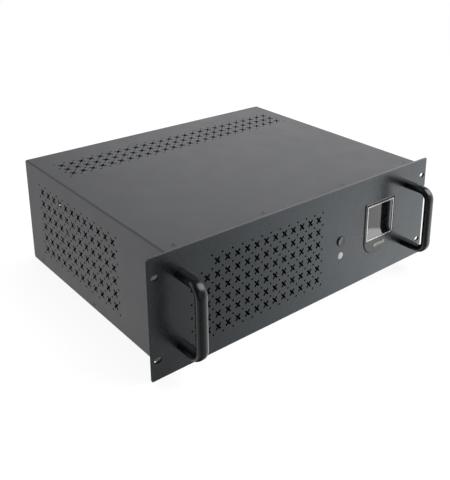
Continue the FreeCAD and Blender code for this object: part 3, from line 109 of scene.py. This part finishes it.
def remap(tree, value, low, high, to_low=0.0, to_high=1.0, smooth=False):
    """A value moved from one range to another and held inside it."""
    kind = "SMOOTHSTEP" if smooth else "LINEAR"
    inputs = {"Value": value, "From Min": low, "From Max": high, "To Min": to_low, "To Max": to_high}
    return add(tree, "ShaderNodeMapRange", inputs, interpolation_type=kind).outputs["Result"]


def blend_colours(tree, share, first, second):
    """A colour between two others, each a plain colour or a socket."""
    node = add(tree, "ShaderNodeMix", {"Factor": share}, data_type="RGBA")
    for index, colour in ((MIX_FIRST, first), (MIX_SECOND, second)):
        feed(tree, node.inputs[index], colour if is_socket(colour) else (*colour, 1.0))
    return node.outputs[MIX_RESULT]


def noise(tree, coords, size, detail=3.0, stretch=(1, 1, 1)):
    """Noise whose features are about the given size in metres."""
    scaled = vector_calc(tree, "MULTIPLY", coords, tuple(s / size for s in stretch))[0]
    return add(tree, "ShaderNodeTexNoise", {"Vector": scaled, "Scale": 1.0, "Detail": detail}).outputs["Fac"]


# ---------------------------------------------------------------- materials

NOISE_SPAN = (0.3, 0.7)  # most of a noise texture's values lie in this range
BEVEL_SAMPLES = 4
SCUFF_SIZE = 0.004
SCUFF_SPAN = (0.45, 0.7)
EDGE_SPAN = (0.985, 0.85)  # cosine of a rounded edge's turn: unworn at the first, fully worn at the second
WORN_GAIN = 2.2
WORN_LIFT = 0.06
GLOSS_SCALE = 0.6  # the uneven gloss is finer than the mottled colour by this factor
LEAST_ROUGHNESS = 0.005
# Painted shade: the colour and shine given to the walls of punched holes, which stand in shade
SHADED_WALL_COLOUR = (0.001, 0.001, 0.001)
SHADED_WALL_SPECULAR = 0.05


def mottled(tree, coords, colour, mottle, size):
    """The colour, varied between slightly darker and slightly lighter patches."""
    darker = tuple(c * (1 - mottle) for c in colour)
    lighter = tuple(min(1.0, c * (1 + mottle)) for c in colour)
    share = remap(tree, noise(tree, coords, size, detail=5.0), *NOISE_SPAN)
    return blend_colours(tree, share, darker, lighter)


def worn_edges(tree, coords, soft, flat, wear):
    """How worn each place is: scuffs along the edges, where the rounded normal turns from the flat one."""
    turn = vector_calc(tree, "DOT_PRODUCT", soft, flat)["Value"]
    scuffs = remap(tree, noise(tree, coords, SCUFF_SIZE, detail=4.0), *SCUFF_SPAN)
    return calc(tree, "MULTIPLY", calc(tree, "MULTIPLY", remap(tree, turn, *EDGE_SPAN), scuffs), wear)


def finish(name, colour, roughness, metallic=0.0, specular=0.5, mottle=0.12, mottle_size=0.02,
           grain=0.0009, depth=0.00002, stretch=(1, 1, 1), spread=0.06, edge=0.0004, wear=0.25,
           coat=0.0, coat_roughness=0.1, pattern=None, shade_of=None, **principled):
    """Painted, moulded or metal surface with mottled colour, uneven gloss, fine grain and worn edges.

    mottle_size, grain, depth and edge are in metres.  pattern(tree, coords) returns a share, a second colour
    and a depth, for stripes or tracks.  The shade picker (tree, coords, normal) returns 1 where shade is
    painted, there near black and hardly shiny, otherwise 0.  Other settings go to the shader's inputs of the
    same name.
    """
    material = bpy.data.materials.new(name)
    material.use_nodes = True
    tree = material.node_tree
    coords = add(tree, "ShaderNodeTexCoord").outputs["Object"]
    soft = add(tree, "ShaderNodeBevel", {"Radius": edge}, samples=BEVEL_SAMPLES).outputs["Normal"]
    flat = add(tree, "ShaderNodeNewGeometry").outputs["Normal"]

    shade = mottled(tree, coords, colour, mottle, mottle_size)
    height = noise(tree, coords, grain, stretch=stretch)
    if pattern:
        share, second, relief = pattern(tree, coords)
        shade = blend_colours(tree, share, shade, second)
        height = calc(tree, "MULTIPLY_ADD", share, relief / depth, height)
    worn_colour = tuple(min(1.0, c * WORN_GAIN + WORN_LIFT) for c in colour)
    shade = blend_colours(tree, worn_edges(tree, coords, soft, flat, wear), shade, worn_colour)
    shine = specular
    # Painted shade: the walls of punched holes turn near black and lose their shine
    if shade_of:
        wall_shade = shade_of(tree, coords, flat)
        shade = blend_colours(tree, wall_shade, shade, SHADED_WALL_COLOUR)
        shine = remap(tree, wall_shade, 0.0, 1.0, specular, SHADED_WALL_SPECULAR)
    gloss = remap(tree, noise(tree, coords, mottle_size * GLOSS_SCALE, detail=4.0), *NOISE_SPAN,
                  max(LEAST_ROUGHNESS, roughness - spread), min(1.0, roughness + spread))
    relief_inputs = {"Strength": 1.0, "Distance": depth, "Height": height, "Normal": soft}
    relief_normal = add(tree, "ShaderNodeBump", relief_inputs).outputs["Normal"]

    settings = {"Base Color": shade, "Roughness": gloss, "Normal": relief_normal,
                "Specular IOR Level": shine, "Metallic": metallic, "Coat Weight": coat,
                "Coat Roughness": coat_roughness}
    settings.update((socket_name.replace("_", " "), value) for socket_name, value in principled.items())
    shader = tree.nodes["Principled BSDF"]
    for socket_name, value in settings.items():
        feed(tree, shader.inputs[socket_name], value)
    return material


def stripes(axis, pitch, share, second, relief):
    """Pattern of parallel bands across one axis; share is the part of each pitch in the second colour."""
    def draw(tree, coords):
        along = calc(tree, "FRACT", calc(tree, "DIVIDE", axes_of(tree, coords)["XYZ".index(axis)], pitch))
        return calc(tree, "LESS_THAN", along, share), second, relief
    return draw


TRACK_CELLS = 180  # cells in a metre
TRACK_FOLD = 0.12
TRACK_EDGE = (0.05, 0.07)


def tracks(second, relief):
    """Copper tracks and ground areas under the green lacquer of a circuit board."""
    def draw(tree, coords):
        scaled = vector_calc(tree, "MULTIPLY", coords, (TRACK_CELLS,) * 3)[0]
        cells = add(tree, "ShaderNodeTexVoronoi", {"Vector": scaled, "Scale": 1.0},
                    distance="MANHATTAN", feature="F1")
        folded = calc(tree, "PINGPONG", cells.outputs["Distance"], TRACK_FOLD)
        return remap(tree, folded, *TRACK_EDGE), second, relief
    return draw


WALL_FACING = 0.3  # a hole's wall looks along the sheet: its normal has less than this across it


def hole_wall_shade(node, axes, insets):
    """Picks the walls of the holes punched through a sheet's faces, where shade is painted near black.

    axes are the directions that the sheet's faces look in.  The sheet's own rim is left out, up to an inset
    in each direction; a negative inset takes the rim in.
    """
    low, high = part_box(node)

    def pick(tree, coords, normal):
        place = axes_of(tree, coords)
        facing = axes_of(tree, normal)
        share = None
        for axis in axes:
            k = "XYZ".index(axis)
            found = calc(tree, "LESS_THAN", calc(tree, "ABSOLUTE", facing[k]), WALL_FACING)
            for other in {0, 1, 2} - {k}:
                above = calc(tree, "GREATER_THAN", place[other], low[other] + insets[other])
                below = calc(tree, "LESS_THAN", place[other], high[other] - insets[other])
                found = calc(tree, "MULTIPLY", found, calc(tree, "MULTIPLY", above, below))
            share = found if share is None else calc(tree, "MAXIMUM", share, found)
        return share
    return pick


def make_materials():
    """One finish for each material slot of the record."""
    # Painted shade on the walls of the punched holes of the panel and the cover
    panel_hole_shade = hole_wall_shade("front_panel", "Y", (-1 * MM, 0, 2 * MM))
    cover_hole_shade = hole_wall_shade("top_cover", "XZ", (4 * MM, 4 * MM, 4 * MM))
    finishes = {
        # sheet metal and handles
        "panel_paint": dict(
            colour=(0.0052, 0.0061, 0.0072), roughness=0.27, grain=0.0011, depth=0.00003, mottle=0.08,
            mottle_size=0.05, spread=0.02, specular=0.9, wear=0.03, edge=0.0002, shade_of=panel_hole_shade,
            Specular_Tint=(0.86, 0.95, 1.0, 1.0)),
        "case_paint": dict(
            colour=(0.0245, 0.0252, 0.0285), roughness=0.43, grain=0.0008, depth=0.00004, mottle=0.03,
            mottle_size=0.05, spread=0.02, shade_of=cover_hole_shade),
        "handle_black": dict(
            colour=(0.0022, 0.0028, 0.004), roughness=0.27, grain=0.0014, depth=0.000002,
            mottle_size=0.01, spread=0.02, wear=0.0),

        # screws and bare metal
        "screw_black": dict(colour=(0.05, 0.05, 0.052), roughness=0.36, metallic=0.5, grain=0.0005),
        "zinc_steel": dict(
            colour=(0.62, 0.63, 0.62), roughness=0.34, metallic=1.0, grain=0.0006, mottle_size=0.006,
            spread=0.12),
        "brass": dict(
            colour=(0.78, 0.56, 0.25), roughness=0.28, metallic=1.0, grain=0.0005, mottle_size=0.004),
        "guard_chrome": dict(
            colour=(0.75, 0.76, 0.77), roughness=0.16, metallic=1.0, grain=0.0008, depth=0.000005,
            mottle=0.05),
        "heat_sink_aluminium": dict(
            colour=(0.55, 0.56, 0.57), roughness=0.34, metallic=1.0, grain=0.0004, stretch=(0.05, 1, 1)),

        # display, button and lamp
        "bezel_plastic": dict(
            colour=(0.018, 0.017, 0.0155), roughness=0.3, specular=0.72, wear=0.05, grain=0.0005,
            depth=0.00001),
        "silver_trim": dict(
            colour=(0.5, 0.51, 0.51), roughness=0.24, wear=0.1, metallic=0.9, grain=0.0004,
            depth=0.000004, mottle=0.04, stretch=(1, 1, 12)),
        "window_glass": dict(
            colour=(0.004, 0.0045, 0.005), roughness=0.014, grain=0.004, depth=0.0000005, spread=0.006,
            wear=0.0, coat=0.6, coat_roughness=0.008),
        "lcd": dict(
            colour=(0.05, 0.055, 0.06), roughness=0.25,
            pattern=stripes("X", pitch=0.0012, share=0.1, second=(0.03, 0.03, 0.035), relief=0.0)),
        "button_plastic": dict(
            colour=(0.014, 0.016, 0.018), roughness=0.3, specular=0.9, wear=0.1, grain=0.0004,
            depth=0.000005),
        "lens_white": dict(
            colour=(0.34, 0.35, 0.36), roughness=0.3, grain=0.0006, depth=0.00001, mottle=0.05, wear=0.0,
            Subsurface_Weight=0.3, Subsurface_Scale=0.002),

        # plastics of the switch, the fan, the rear and the cables
        "switch_plastic": dict(colour=(0.014, 0.014, 0.015), roughness=0.38, grain=0.0005, depth=0.00002),
        "fan_plastic": dict(colour=(0.012, 0.012, 0.013), roughness=0.42, grain=0.0006, depth=0.00002),
        "breaker_white": dict(colour=(0.78, 0.77, 0.72), roughness=0.35, grain=0.0005, depth=0.00001),
        "battery_grey": dict(colour=(0.055, 0.058, 0.062), roughness=0.5, grain=0.0007, depth=0.00003),
        "connector_white": dict(colour=(0.72, 0.71, 0.66), roughness=0.4, grain=0.0005, depth=0.00002),
        "cable_black": dict(colour=(0.012, 0.012, 0.013), roughness=0.4, grain=0.0008, depth=0.00003),
        "ribbon_grey": dict(
            colour=(0.42, 0.43, 0.44), roughness=0.45,
            pattern=stripes("X", pitch=0.00127, share=0.3, second=(0.28, 0.29, 0.3), relief=0.0003)),

        # transformer, motor and circuit boards
        "stator": dict(
            colour=(0.5, 0.2, 0.09), roughness=0.35, metallic=0.8, grain=0.0005,
            pattern=stripes("Y", pitch=0.0006, share=0.35, second=(0.25, 0.08, 0.03), relief=0.0002)),
        "laminations": dict(
            colour=(0.16, 0.16, 0.17), roughness=0.45, metallic=0.7,
            pattern=stripes("Y", pitch=0.0011, share=0.25, second=(0.04, 0.035, 0.03), relief=0.0001)),
        # Winding tape darkened to near black-brown as painted shade: the inside of the case, seen through the
        # vents, lies in shade
        "winding_tape": dict(
            colour=(0.035, 0.028, 0.018), roughness=0.45, grain=0.0015, depth=0.0001,
            pattern=stripes("Z", pitch=0.012, share=0.05, second=(0.012, 0.01, 0.008), relief=0.0001)),
        "circuit_board": dict(
            colour=(0.012, 0.075, 0.03), roughness=0.3, grain=0.0006,
            pattern=tracks(second=(0.03, 0.15, 0.06), relief=0.00003)),
        "component_black": dict(colour=(0.02, 0.02, 0.021), roughness=0.45, grain=0.0004, depth=0.00002),
        "capacitor_sleeve": dict(
            colour=(0.016, 0.022, 0.05), roughness=0.25, grain=0.001,
            pattern=stripes("Z", pitch=0.03, share=0.04, second=(0.25, 0.26, 0.28), relief=0.0)),
    }
    return {name: finish(name + "_finish", **settings) for name, settings in finishes.items()}


# Painted shade: matt near-black finish for the strip beside the display's trim ring
def make_shade_rim_finish():
    return finish("shade_rim_black", colour=(0.006, 0.006, 0.006), roughness=0.6, specular=0.2, grain=0.0004,
                  wear=0.0)


def make_badge_finish():
    return finish("badge_finish", colour=(0.42, 0.43, 0.44), roughness=0.35, metallic=0.8, grain=0.0003,
                  depth=0.000004, stretch=(1, 1, 8))


def dress_cad_nodes(materials):
    """Gives every CAD node the finish of its material slot."""
    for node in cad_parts.values():
        for slot in node.material_slots:
            slot.material = materials[slot.material.name]


# ---------------------------------------------------------------- pieces built here

SMOOTH_ANGLE = math.radians(35)


def place_mesh(name, shape, material):
    """Turns a bmesh into a piece that rides on the case."""
    mesh = bpy.data.meshes.new(name)
    shape.to_mesh(mesh)
    shape.free()
    mesh.shade_smooth()
    mesh.set_sharp_from_angle(angle=SMOOTH_ANGLE)
    mesh.materials.append(material)
    piece = bpy.data.objects.new(name, mesh)
    bpy.context.scene.collection.objects.link(piece)
    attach(piece, "case")
    return piece


def skin(name, loops, cyclic, material):
    """Mesh through closed loops of equal length: the last loop joins the first, or both ends are capped."""
    shape = bmesh.new()
    rows = [[shape.verts.new(point) for point in loop] for loop in loops]
    pairs = list(zip(rows, rows[1:])) + ([(rows[-1], rows[0])] if cyclic else [])
    for row, following in pairs:
        for k in range(len(row)):
            after = (k + 1) % len(row)
            shape.faces.new((row[k], row[after], following[after], following[k]))
    if not cyclic:
        shape.faces.new(reversed(rows[0]))
        shape.faces.new(rows[-1])
    bmesh.ops.recalc_face_normals(shape, faces=shape.faces)
    return place_mesh(name, shape, material)


def rounded_loop(low, high, radii, y, grow=0.0, steps=12):
    """Rectangle in the XZ plane with rounded corners, from the lower left one anticlockwise."""
    corners = ((low.x, low.z, 180), (high.x, low.z, 270), (high.x, high.z, 0), (low.x, high.z, 90))
    points = []
    for (x, z, start), radius in zip(corners, radii):
        turn = math.radians(start + 45)
        centre_x = x - math.copysign(radius, math.cos(turn))
        centre_z = z - math.copysign(radius, math.sin(turn))
        for k in range(steps + 1):
            angle = math.radians(start + 90 * k / steps)
            reach = radius + grow
            points.append((centre_x + reach * math.cos(angle), y, centre_z + reach * math.sin(angle)))
    return points


HANDLE_THICK = 9.9 * MM
HANDLE_BEND = 13.0 * MM
HANDLE_ROUNDNESS = 2.5  # 2 is an ellipse; higher is boxier
LEG_STEPS = 8
GRIP_STEPS = 16
BEND_STEPS = 16
BAR_POINTS = 48


def straight_run(start, end, steps, angle):
    """Evenly spaced points after the start, with one outward direction in degrees."""
    return [((start[0] + (end[0] - start[0]) * k / steps, start[1] + (end[1] - start[1]) * k / steps), angle)
            for k in range(1, steps + 1)]


def quarter_bend(centre_y, centre_z, start):
    """Points of a quarter circle after the one at the start angle, with their outward directions."""
    run = []
    for k in range(1, BEND_STEPS + 1):
        angle = start - 90 * k / BEND_STEPS
        turn = math.radians(angle)
        place = (centre_y + HANDLE_BEND * math.cos(turn), centre_z + HANDLE_BEND * math.sin(turn))
        run.append((place, angle))
    return run


def handle_spine(low, high):
    """Points (y, z) and outward directions along a handle's middle line, from the lower foot to the upper."""
    half = HANDLE_THICK / 2
    front = low.y + half
    bottom = low.z + half
    top = high.z - half
    bend_y = front + HANDLE_BEND
    spine = [((high.y, bottom), 270)]
    spine += straight_run((high.y, bottom), (bend_y, bottom), LEG_STEPS, 270)
    spine += quarter_bend(bend_y, bottom + HANDLE_BEND, 270)
    spine += straight_run((front, bottom + HANDLE_BEND), (front, top - HANDLE_BEND), GRIP_STEPS, 180)
    spine += quarter_bend(bend_y, top - HANDLE_BEND, 180)
    spine += straight_run((bend_y, top), (high.y, top), LEG_STEPS, 90)
    return spine


def squared_circle(value):
    """A sine or cosine, pushed outwards to make an oval with flatter sides."""
    return math.copysign(abs(value) ** (2 / HANDLE_ROUNDNESS), value)


def make_handle(node, material):
    """Oval bar bent into a U, in place of the plain CAD bar."""
    low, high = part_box(node)
    centre = (low.x + high.x) / 2
    half_wide = (high.x - low.x) / 2
    loops = []
    for (y, z), angle in handle_spine(low, high):
        outward = Vector((0, math.cos(math.radians(angle)), math.sin(math.radians(angle))))
        ring = []
        for k in range(BAR_POINTS):
            turn = math.tau * k / BAR_POINTS
            across = half_wide * squared_circle(math.cos(turn))
            along = squared_circle(math.sin(turn))
            ring.append(Vector((centre + across, y, z)) + outward * along * HANDLE_THICK / 2)
        loops.append(ring)
    bar = skin(node + "_bar", loops, False, material)
    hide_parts(node)


# Painted shade: a thin dark seal ring stands for the shade and dark reflection along the raised edge of the
# display's bezel
SHADOW_SEAL_WIDE = 0.8 * MM
SHADOW_SEAL_HIGH = 0.5 * MM
SHADOW_SEAL_TUCK = 0.2 * MM  # how far the seal reaches under the bezel
SHADOW_SEAL_SHOULDER = 0.6  # shares of its height and width where its outer edge starts to slope
SHADOW_SEAL_TOP = 0.7
BEZEL_ROUNDS = (20.5 * MM, 20.5 * MM, 2.5 * MM, 2.5 * MM)


def make_bezel_shade_seal(material):
    """Thin dark seal ring around the display's bezel, as painted shade along its raised edge."""
    low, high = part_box("display_bezel")
    panel_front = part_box("front_panel")[0].y
    profile = [(-SHADOW_SEAL_TUCK, 0), (SHADOW_SEAL_WIDE, 0), (SHADOW_SEAL_WIDE, -SHADOW_SEAL_HIGH * SHADOW_SEAL_SHOULDER),
               (SHADOW_SEAL_WIDE * SHADOW_SEAL_TOP, -SHADOW_SEAL_HIGH), (-SHADOW_SEAL_TUCK, -SHADOW_SEAL_HIGH)]
    loops = [rounded_loop(low, high, BEZEL_ROUNDS, panel_front + rise, grow) for grow, rise in profile]
    skin("bezel_shade_seal", loops, True, material)


# Painted shade: a matt black strip beside the trim ring stands for the dark line along the top and right of
# the raised trim
RIM_WIDE = 2.4 * MM
RIM_HIGH = 0.2 * MM
RIM_CHAMFER = 0.1  # share of the rim's width
RIM_FOOT = 2 * MM  # how far above the trim's lower edge the rim ends


def make_window_shade_rim(material):
    """Matt black strip on the bezel along the top and the right side of the trim ring, as painted shade."""
    low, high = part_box("display_trim")
    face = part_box("display_bezel")[0].y
    lift = Vector((0, -RIM_HIGH, 0))
    spine = ((low.x, high.z, 0, 1), (high.x, high.z, 1, 1), (high.x, low.z + RIM_FOOT, 1, 0))
    loops = []
    for x, z, out_x, out_z in spine:
        inner = Vector((x, face, z))
        outer = inner + Vector((out_x, 0, out_z)) * RIM_WIDE
        loops.append([inner - lift, outer - lift, outer, outer.lerp(inner, RIM_CHAMFER) + lift, inner + lift])
    skin("window_shade_rim", loops, False, material)


BADGE_BARS = 7
BADGE_SLANT = 0.35
BADGE_HIGH_SHARE = 0.8  # of the plate's height
BADGE_HALF_WIDE_SHARE = 0.32  # of the bars' pitch
BADGE_BEVEL = 0.15 * MM
SQUARE = ((-1, -1), (1, -1), (1, 1), (-1, 1))


def add_badge_bar(shape, centre, middle, half_wide, half_high, back, front):
    """One slanted bar with a bevelled face."""
    rings = []
    for inset, y in ((0, back), (0, front + BADGE_BEVEL), (BADGE_BEVEL, front)):
        wide = half_wide - inset
        high = half_high - inset
        rings.append([shape.verts.new((centre + u * wide + v * high * BADGE_SLANT, y, middle + v * high))
                      for u, v in SQUARE])
    for ring, following in zip(rings, rings[1:]):
        for side in range(4):
            after = (side + 1) % 4
            shape.faces.new((ring[side], ring[after], following[after], following[side]))
    shape.faces.new(reversed(rings[0]))
    shape.faces.new(rings[-1])


def make_badge(material):
    """Row of plain slanted bars, in place of the blank CAD plate."""
    low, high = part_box("badge_plate")
    pitch = (high.x - low.x) / BADGE_BARS
    half_wide = pitch * BADGE_HALF_WIDE_SHARE
    half_high = (high.z - low.z) * BADGE_HIGH_SHARE / 2
    shape = bmesh.new()
    for k in range(BADGE_BARS):
        add_badge_bar(shape, low.x + pitch * (k + 0.5), (low.z + high.z) / 2, half_wide, half_high,
                      high.y, low.y)
    bmesh.ops.recalc_face_normals(shape, faces=shape.faces)
    badge = place_mesh("badge_bars", shape, material)
    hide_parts("badge_plate")


# Painted shade: a dark ring on the cover around each flush screw stands for the shade in the gap around its
# head
SINK_RING_INNER = 3.0 * MM
SINK_RING_OUTER = 4.1 * MM
SINK_RING_HIGH = 0.12 * MM
SINK_RING_SHOULDER = 0.6  # share of the height at the inner edge
SINK_RING_CREST = 0.4  # share of the width from the inner edge to the highest line
SINK_RING_STEPS = 40
SIDE_SCREW_REACH = 10 * MM  # a screw this close to a side of the cover goes in from that side
WELD = 0.002 * MM


def islands(shape):
    """The groups of joined vertices in a mesh."""
    groups = []
    left_over = set(shape.verts)
    while left_over:
        reached = {left_over.pop()}
        newest = set(reached)
        while newest:
            newest = {edge.other_vert(vert) for vert in newest for edge in vert.link_edges} - reached
            reached |= newest
        left_over -= reached
        groups.append(reached)
    return groups


def screw_heads(node):
    """Where a node's screws meet the cover's outside, and the directions in which their heads look."""
    shape = bmesh.new()
    shape.from_mesh(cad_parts[node].data)
    bmesh.ops.remove_doubles(shape, verts=shape.verts, dist=WELD)
    low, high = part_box("top_cover")
    spots = []
    for screw in islands(shape):
        ends = [Vector([pick(vert.co[k] for vert in screw) for k in range(3)]) for pick in (min, max)]
        x, y, z = (ends[0] + ends[1]) / 2
        if x < low.x + SIDE_SCREW_REACH:
            spots.append((Vector((low.x, y, z)), Vector((-1, 0, 0))))
        elif x > high.x - SIDE_SCREW_REACH:
            spots.append((Vector((high.x, y, z)), Vector((1, 0, 0))))
        else:
            spots.append((Vector((x, y, high.z)), Vector((0, 0, 1))))
    shape.free()
    return sorted(spots, key=lambda spot: tuple(spot[0]))


def make_sink_shade_rings(material):
    """Dark ring around each flush screw of the cover, as painted shade in the gap around its head."""
    crest = SINK_RING_INNER * (1 - SINK_RING_CREST) + SINK_RING_OUTER * SINK_RING_CREST
    profile = ((SINK_RING_INNER, -SINK_RING_HIGH), (SINK_RING_INNER, SINK_RING_HIGH * SINK_RING_SHOULDER),
               (crest, SINK_RING_HIGH), (SINK_RING_OUTER, 0), (SINK_RING_OUTER, -SINK_RING_HIGH))
    for index, (centre, outward) in enumerate(screw_heads("cover_screws")):
        turn = outward.to_track_quat("Z", "Y")
        loops = []
        for k in range(SINK_RING_STEPS):
            angle = math.tau * k / SINK_RING_STEPS
            loops.append([centre + turn @ Vector((reach * math.cos(angle), reach * math.sin(angle), rise))
                          for reach, rise in profile])
        skin(f"sink_shade_ring_{index}", loops, True, material)


# ---------------------------------------------------------------- studio

def toward(azimuth, elevation):
    """Unit vector; azimuth 0 is in front of the panel and 90 is on its right."""
    a = math.radians(azimuth)
    e = math.radians(elevation)
    return Vector((math.sin(a) * math.cos(e), -math.cos(a) * math.cos(e), math.sin(e)))


# Soft bright areas around the object, set so that it mirrors the same light and dark as in the photo:
# azimuth, elevation, full-strength radius, fade-out radius (all in degrees) and strength
GLOWS = [
    (85, -10, 22, 58, 1.85),
    (50.8, -28.4, 2.4, 2.6, 1.7),
    (20, -42, 12, 42, 0.24),
    (137, 7, 9, 36, 1.6),
    (235, -27, 20, 56, 1.0),
    (60, 44, 18, 30, 5.0),
    (-50, -46, 12, 32, 0.6),
    (0, 10, 5, 35, 0.5),
    (225, 30, 15, 38, 1.3),
    (135, -36, 12, 36, 0.8),
]
AMBIENT = 0.05


def make_world():
    """White for the camera; for everything else a dark studio with a few soft bright areas."""
    world = bpy.data.worlds.new("studio")
    bpy.context.scene.world = world
    world.use_nodes = True
    tree = world.node_tree
    tree.nodes.clear()
    direction = add(tree, "ShaderNodeTexCoord").outputs["Generated"]
    total = None
    for azimuth, elevation, inner, outer, strength in GLOWS:
        facing = vector_calc(tree, "DOT_PRODUCT", direction, toward(azimuth, elevation))["Value"]
        angle = calc(tree, "ARCCOSINE", facing)
        glow = remap(tree, angle, math.radians(outer), math.radians(inner), 0.0, strength, smooth=True)
        total = calc(tree, "ADD", glow, AMBIENT if total is None else total)
    studio = add(tree, "ShaderNodeBackground", {"Color": (1, 1, 1, 1), "Strength": total})
    white = add(tree, "ShaderNodeBackground", {"Color": (1, 1, 1, 1), "Strength": 1.0})
    seen = add(tree, "ShaderNodeLightPath").outputs["Is Camera Ray"]
    mixed = add(tree, "ShaderNodeMixShader", {0: seen, 1: studio.outputs[0], 2: white.outputs[0]})
    add(tree, "ShaderNodeOutputWorld", {"Surface": mixed.outputs[0]})


FLOOR_HALF = 12.0
FLOOR_CELLS = 8
FLOOR_TONES = ((0.88, 0.88, 0.88), (0.92, 0.92, 0.92))
FLOOR_TONE_SIZE = 0.4
FLOOR_ROUGHNESS = 0.9
BLANK_NEAR = 0.5  # distances from the frame's origin between which the floor's shadow fades away
BLANK_FAR = 2.5
BLANK_SHARE = 0.88  # how white the camera sees the floor beside the object; 1 shows no shadow


def make_floor_finish():
    """Pale floor paint, which the camera sees mixed with plain white."""
    material = bpy.data.materials.new("floor_finish")
    material.use_nodes = True
    tree = material.node_tree
    shader = tree.nodes["Principled BSDF"]
    coords = add(tree, "ShaderNodeTexCoord").outputs["Object"]
    tone = blend_colours(tree, noise(tree, coords, FLOOR_TONE_SIZE), *FLOOR_TONES)
    feed(tree, shader.inputs["Base Color"], tone)
    feed(tree, shader.inputs["Roughness"], FLOOR_ROUGHNESS)
    glow = add(tree, "ShaderNodeEmission", {"Color": (1, 1, 1, 1), "Strength": 1.0})
    seen = add(tree, "ShaderNodeLightPath").outputs["Is Camera Ray"]
    away = vector_calc(tree, "LENGTH", coords)["Value"]
    blank = remap(tree, away, BLANK_NEAR, BLANK_FAR, BLANK_SHARE, 1.0, smooth=True)
    share = calc(tree, "MULTIPLY", seen, blank)
    mixed = add(tree, "ShaderNodeMixShader", {0: share, 1: shader.outputs[0], 2: glow.outputs[0]})
    feed(tree, tree.nodes["Material Output"].inputs["Surface"], mixed.outputs[0])
    return material


def make_floor(height):
    """Plain pale floor, with a faint soft shadow under the case."""
    mesh = bpy.data.meshes.new("floor")
    shape = bmesh.new()
    bmesh.ops.create_grid(shape, x_segments=FLOOR_CELLS, y_segments=FLOOR_CELLS, size=FLOOR_HALF,
                          matrix=Matrix.Translation((0, 0, height)))
    shape.to_mesh(mesh)
    shape.free()
    mesh.materials.append(make_floor_finish())
    floor = bpy.data.objects.new("floor", mesh)
    bpy.context.scene.collection.objects.link(floor)
    floor.visible_glossy = False


# Soft lights: name, azimuth and elevation in degrees, distance and size in metres, power in watts
LIGHTS = [
    ("key_light", 54, 42, 2.2, 0.9, 26),
    ("top_light", 170, 70, 2.0, 1.6, 34),
    ("left_light", -95, 15, 2.4, 1.6, 22),
]


def make_lights(centre):
    """Round area lights that look at the centre and show in no mirror image."""
    for name, azimuth, elevation, distance, size, power in LIGHTS:
        light = bpy.data.lights.new(name, "AREA")
        light.shape = "DISK"
        light.size = size
        light.energy = power
        holder = bpy.data.objects.new(name, light)
        holder.visible_glossy = False
        holder.visible_camera = False
        direction = toward(azimuth, elevation)
        holder.location = centre + direction * distance
        holder.rotation_euler = direction.to_track_quat("Z", "Y").to_euler()
        bpy.context.scene.collection.objects.link(holder)


# The camera was fitted to the corners, slots and holes seen in the photo, which is an off-centre crop.
CAMERA_AZIMUTH = -41.804
CAMERA_ELEVATION = 18.315
CAMERA_ROLL = 0.868
CAMERA_DISTANCE = 1.0524
CAMERA_TARGET = Vector((0.0752, 0.147, 0.1206))
CAMERA_LENS = 53.695
CAMERA_SHIFT = (-0.10786, -0.2334)
CLIP_NEAR = 0.01
CLIP_FAR = 60.0
SHIFT_REACH = 0.05  # a camera moved this far from its place has no lens shift


def make_camera():
    """Looks at the case from the front left and above, with a slight roll."""
    back = toward(CAMERA_AZIMUTH, CAMERA_ELEVATION)
    right = Vector((0, 0, 1)).cross(back).normalized()
    up = back.cross(right)
    roll = Matrix.Rotation(math.radians(CAMERA_ROLL), 3, back)
    right = roll @ right
    up = roll @ up
    data = bpy.data.cameras.new("camera")
    data.lens = CAMERA_LENS
    data.clip_start = CLIP_NEAR
    data.clip_end = CLIP_FAR
    camera = bpy.data.objects.new("camera", data)
    pose = Matrix((right, up, back)).transposed().to_4x4()
    pose.translation = CAMERA_TARGET + back * CAMERA_DISTANCE
    camera.matrix_world = pose
    bpy.context.scene.collection.objects.link(camera)
    bpy.context.scene.camera = camera
    place = bpy.data.objects.new("camera_place", None)
    place.location = camera.location
    bpy.context.scene.collection.objects.link(place)
    for name, amount in zip(("shift_x", "shift_y"), CAMERA_SHIFT):
        shift_at_place(camera, place, name, amount)


def shift_at_place(camera, place, name, amount):
    """Shifts the lens at the given place; a camera moved elsewhere looks straight at the object."""
    curve = camera.data.driver_add(name)
    curve.driver.type = "SUM"
    distance = curve.driver.variables.new()
    distance.type = "LOC_DIFF"
    distance.targets[0].id = camera
    distance.targets[1].id = place
    for modifier in list(curve.modifiers):
        curve.modifiers.remove(modifier)
    curve.keyframe_points.clear()
    for reach, value in ((0.0, amount), (SHIFT_REACH, 0.0)):
        curve.keyframe_points.insert(reach, value).interpolation = "LINEAR"


# ---------------------------------------------------------------- build

materials = make_materials()
dress_cad_nodes(materials)
for handle in ("handle_left", "handle_right"):
    make_handle(handle, materials["handle_black"])
make_bezel_shade_seal(materials["switch_plastic"])
make_sink_shade_rings(materials["switch_plastic"])
make_window_shade_rim(make_shade_rim_finish())
make_badge(make_badge_finish())
make_world()
make_floor(cad_bounds[0].z)
make_lights((cad_bounds[0] + cad_bounds[1]) / 2)
make_camera()
bpy.context.scene.view_settings.view_transform = "Standard"
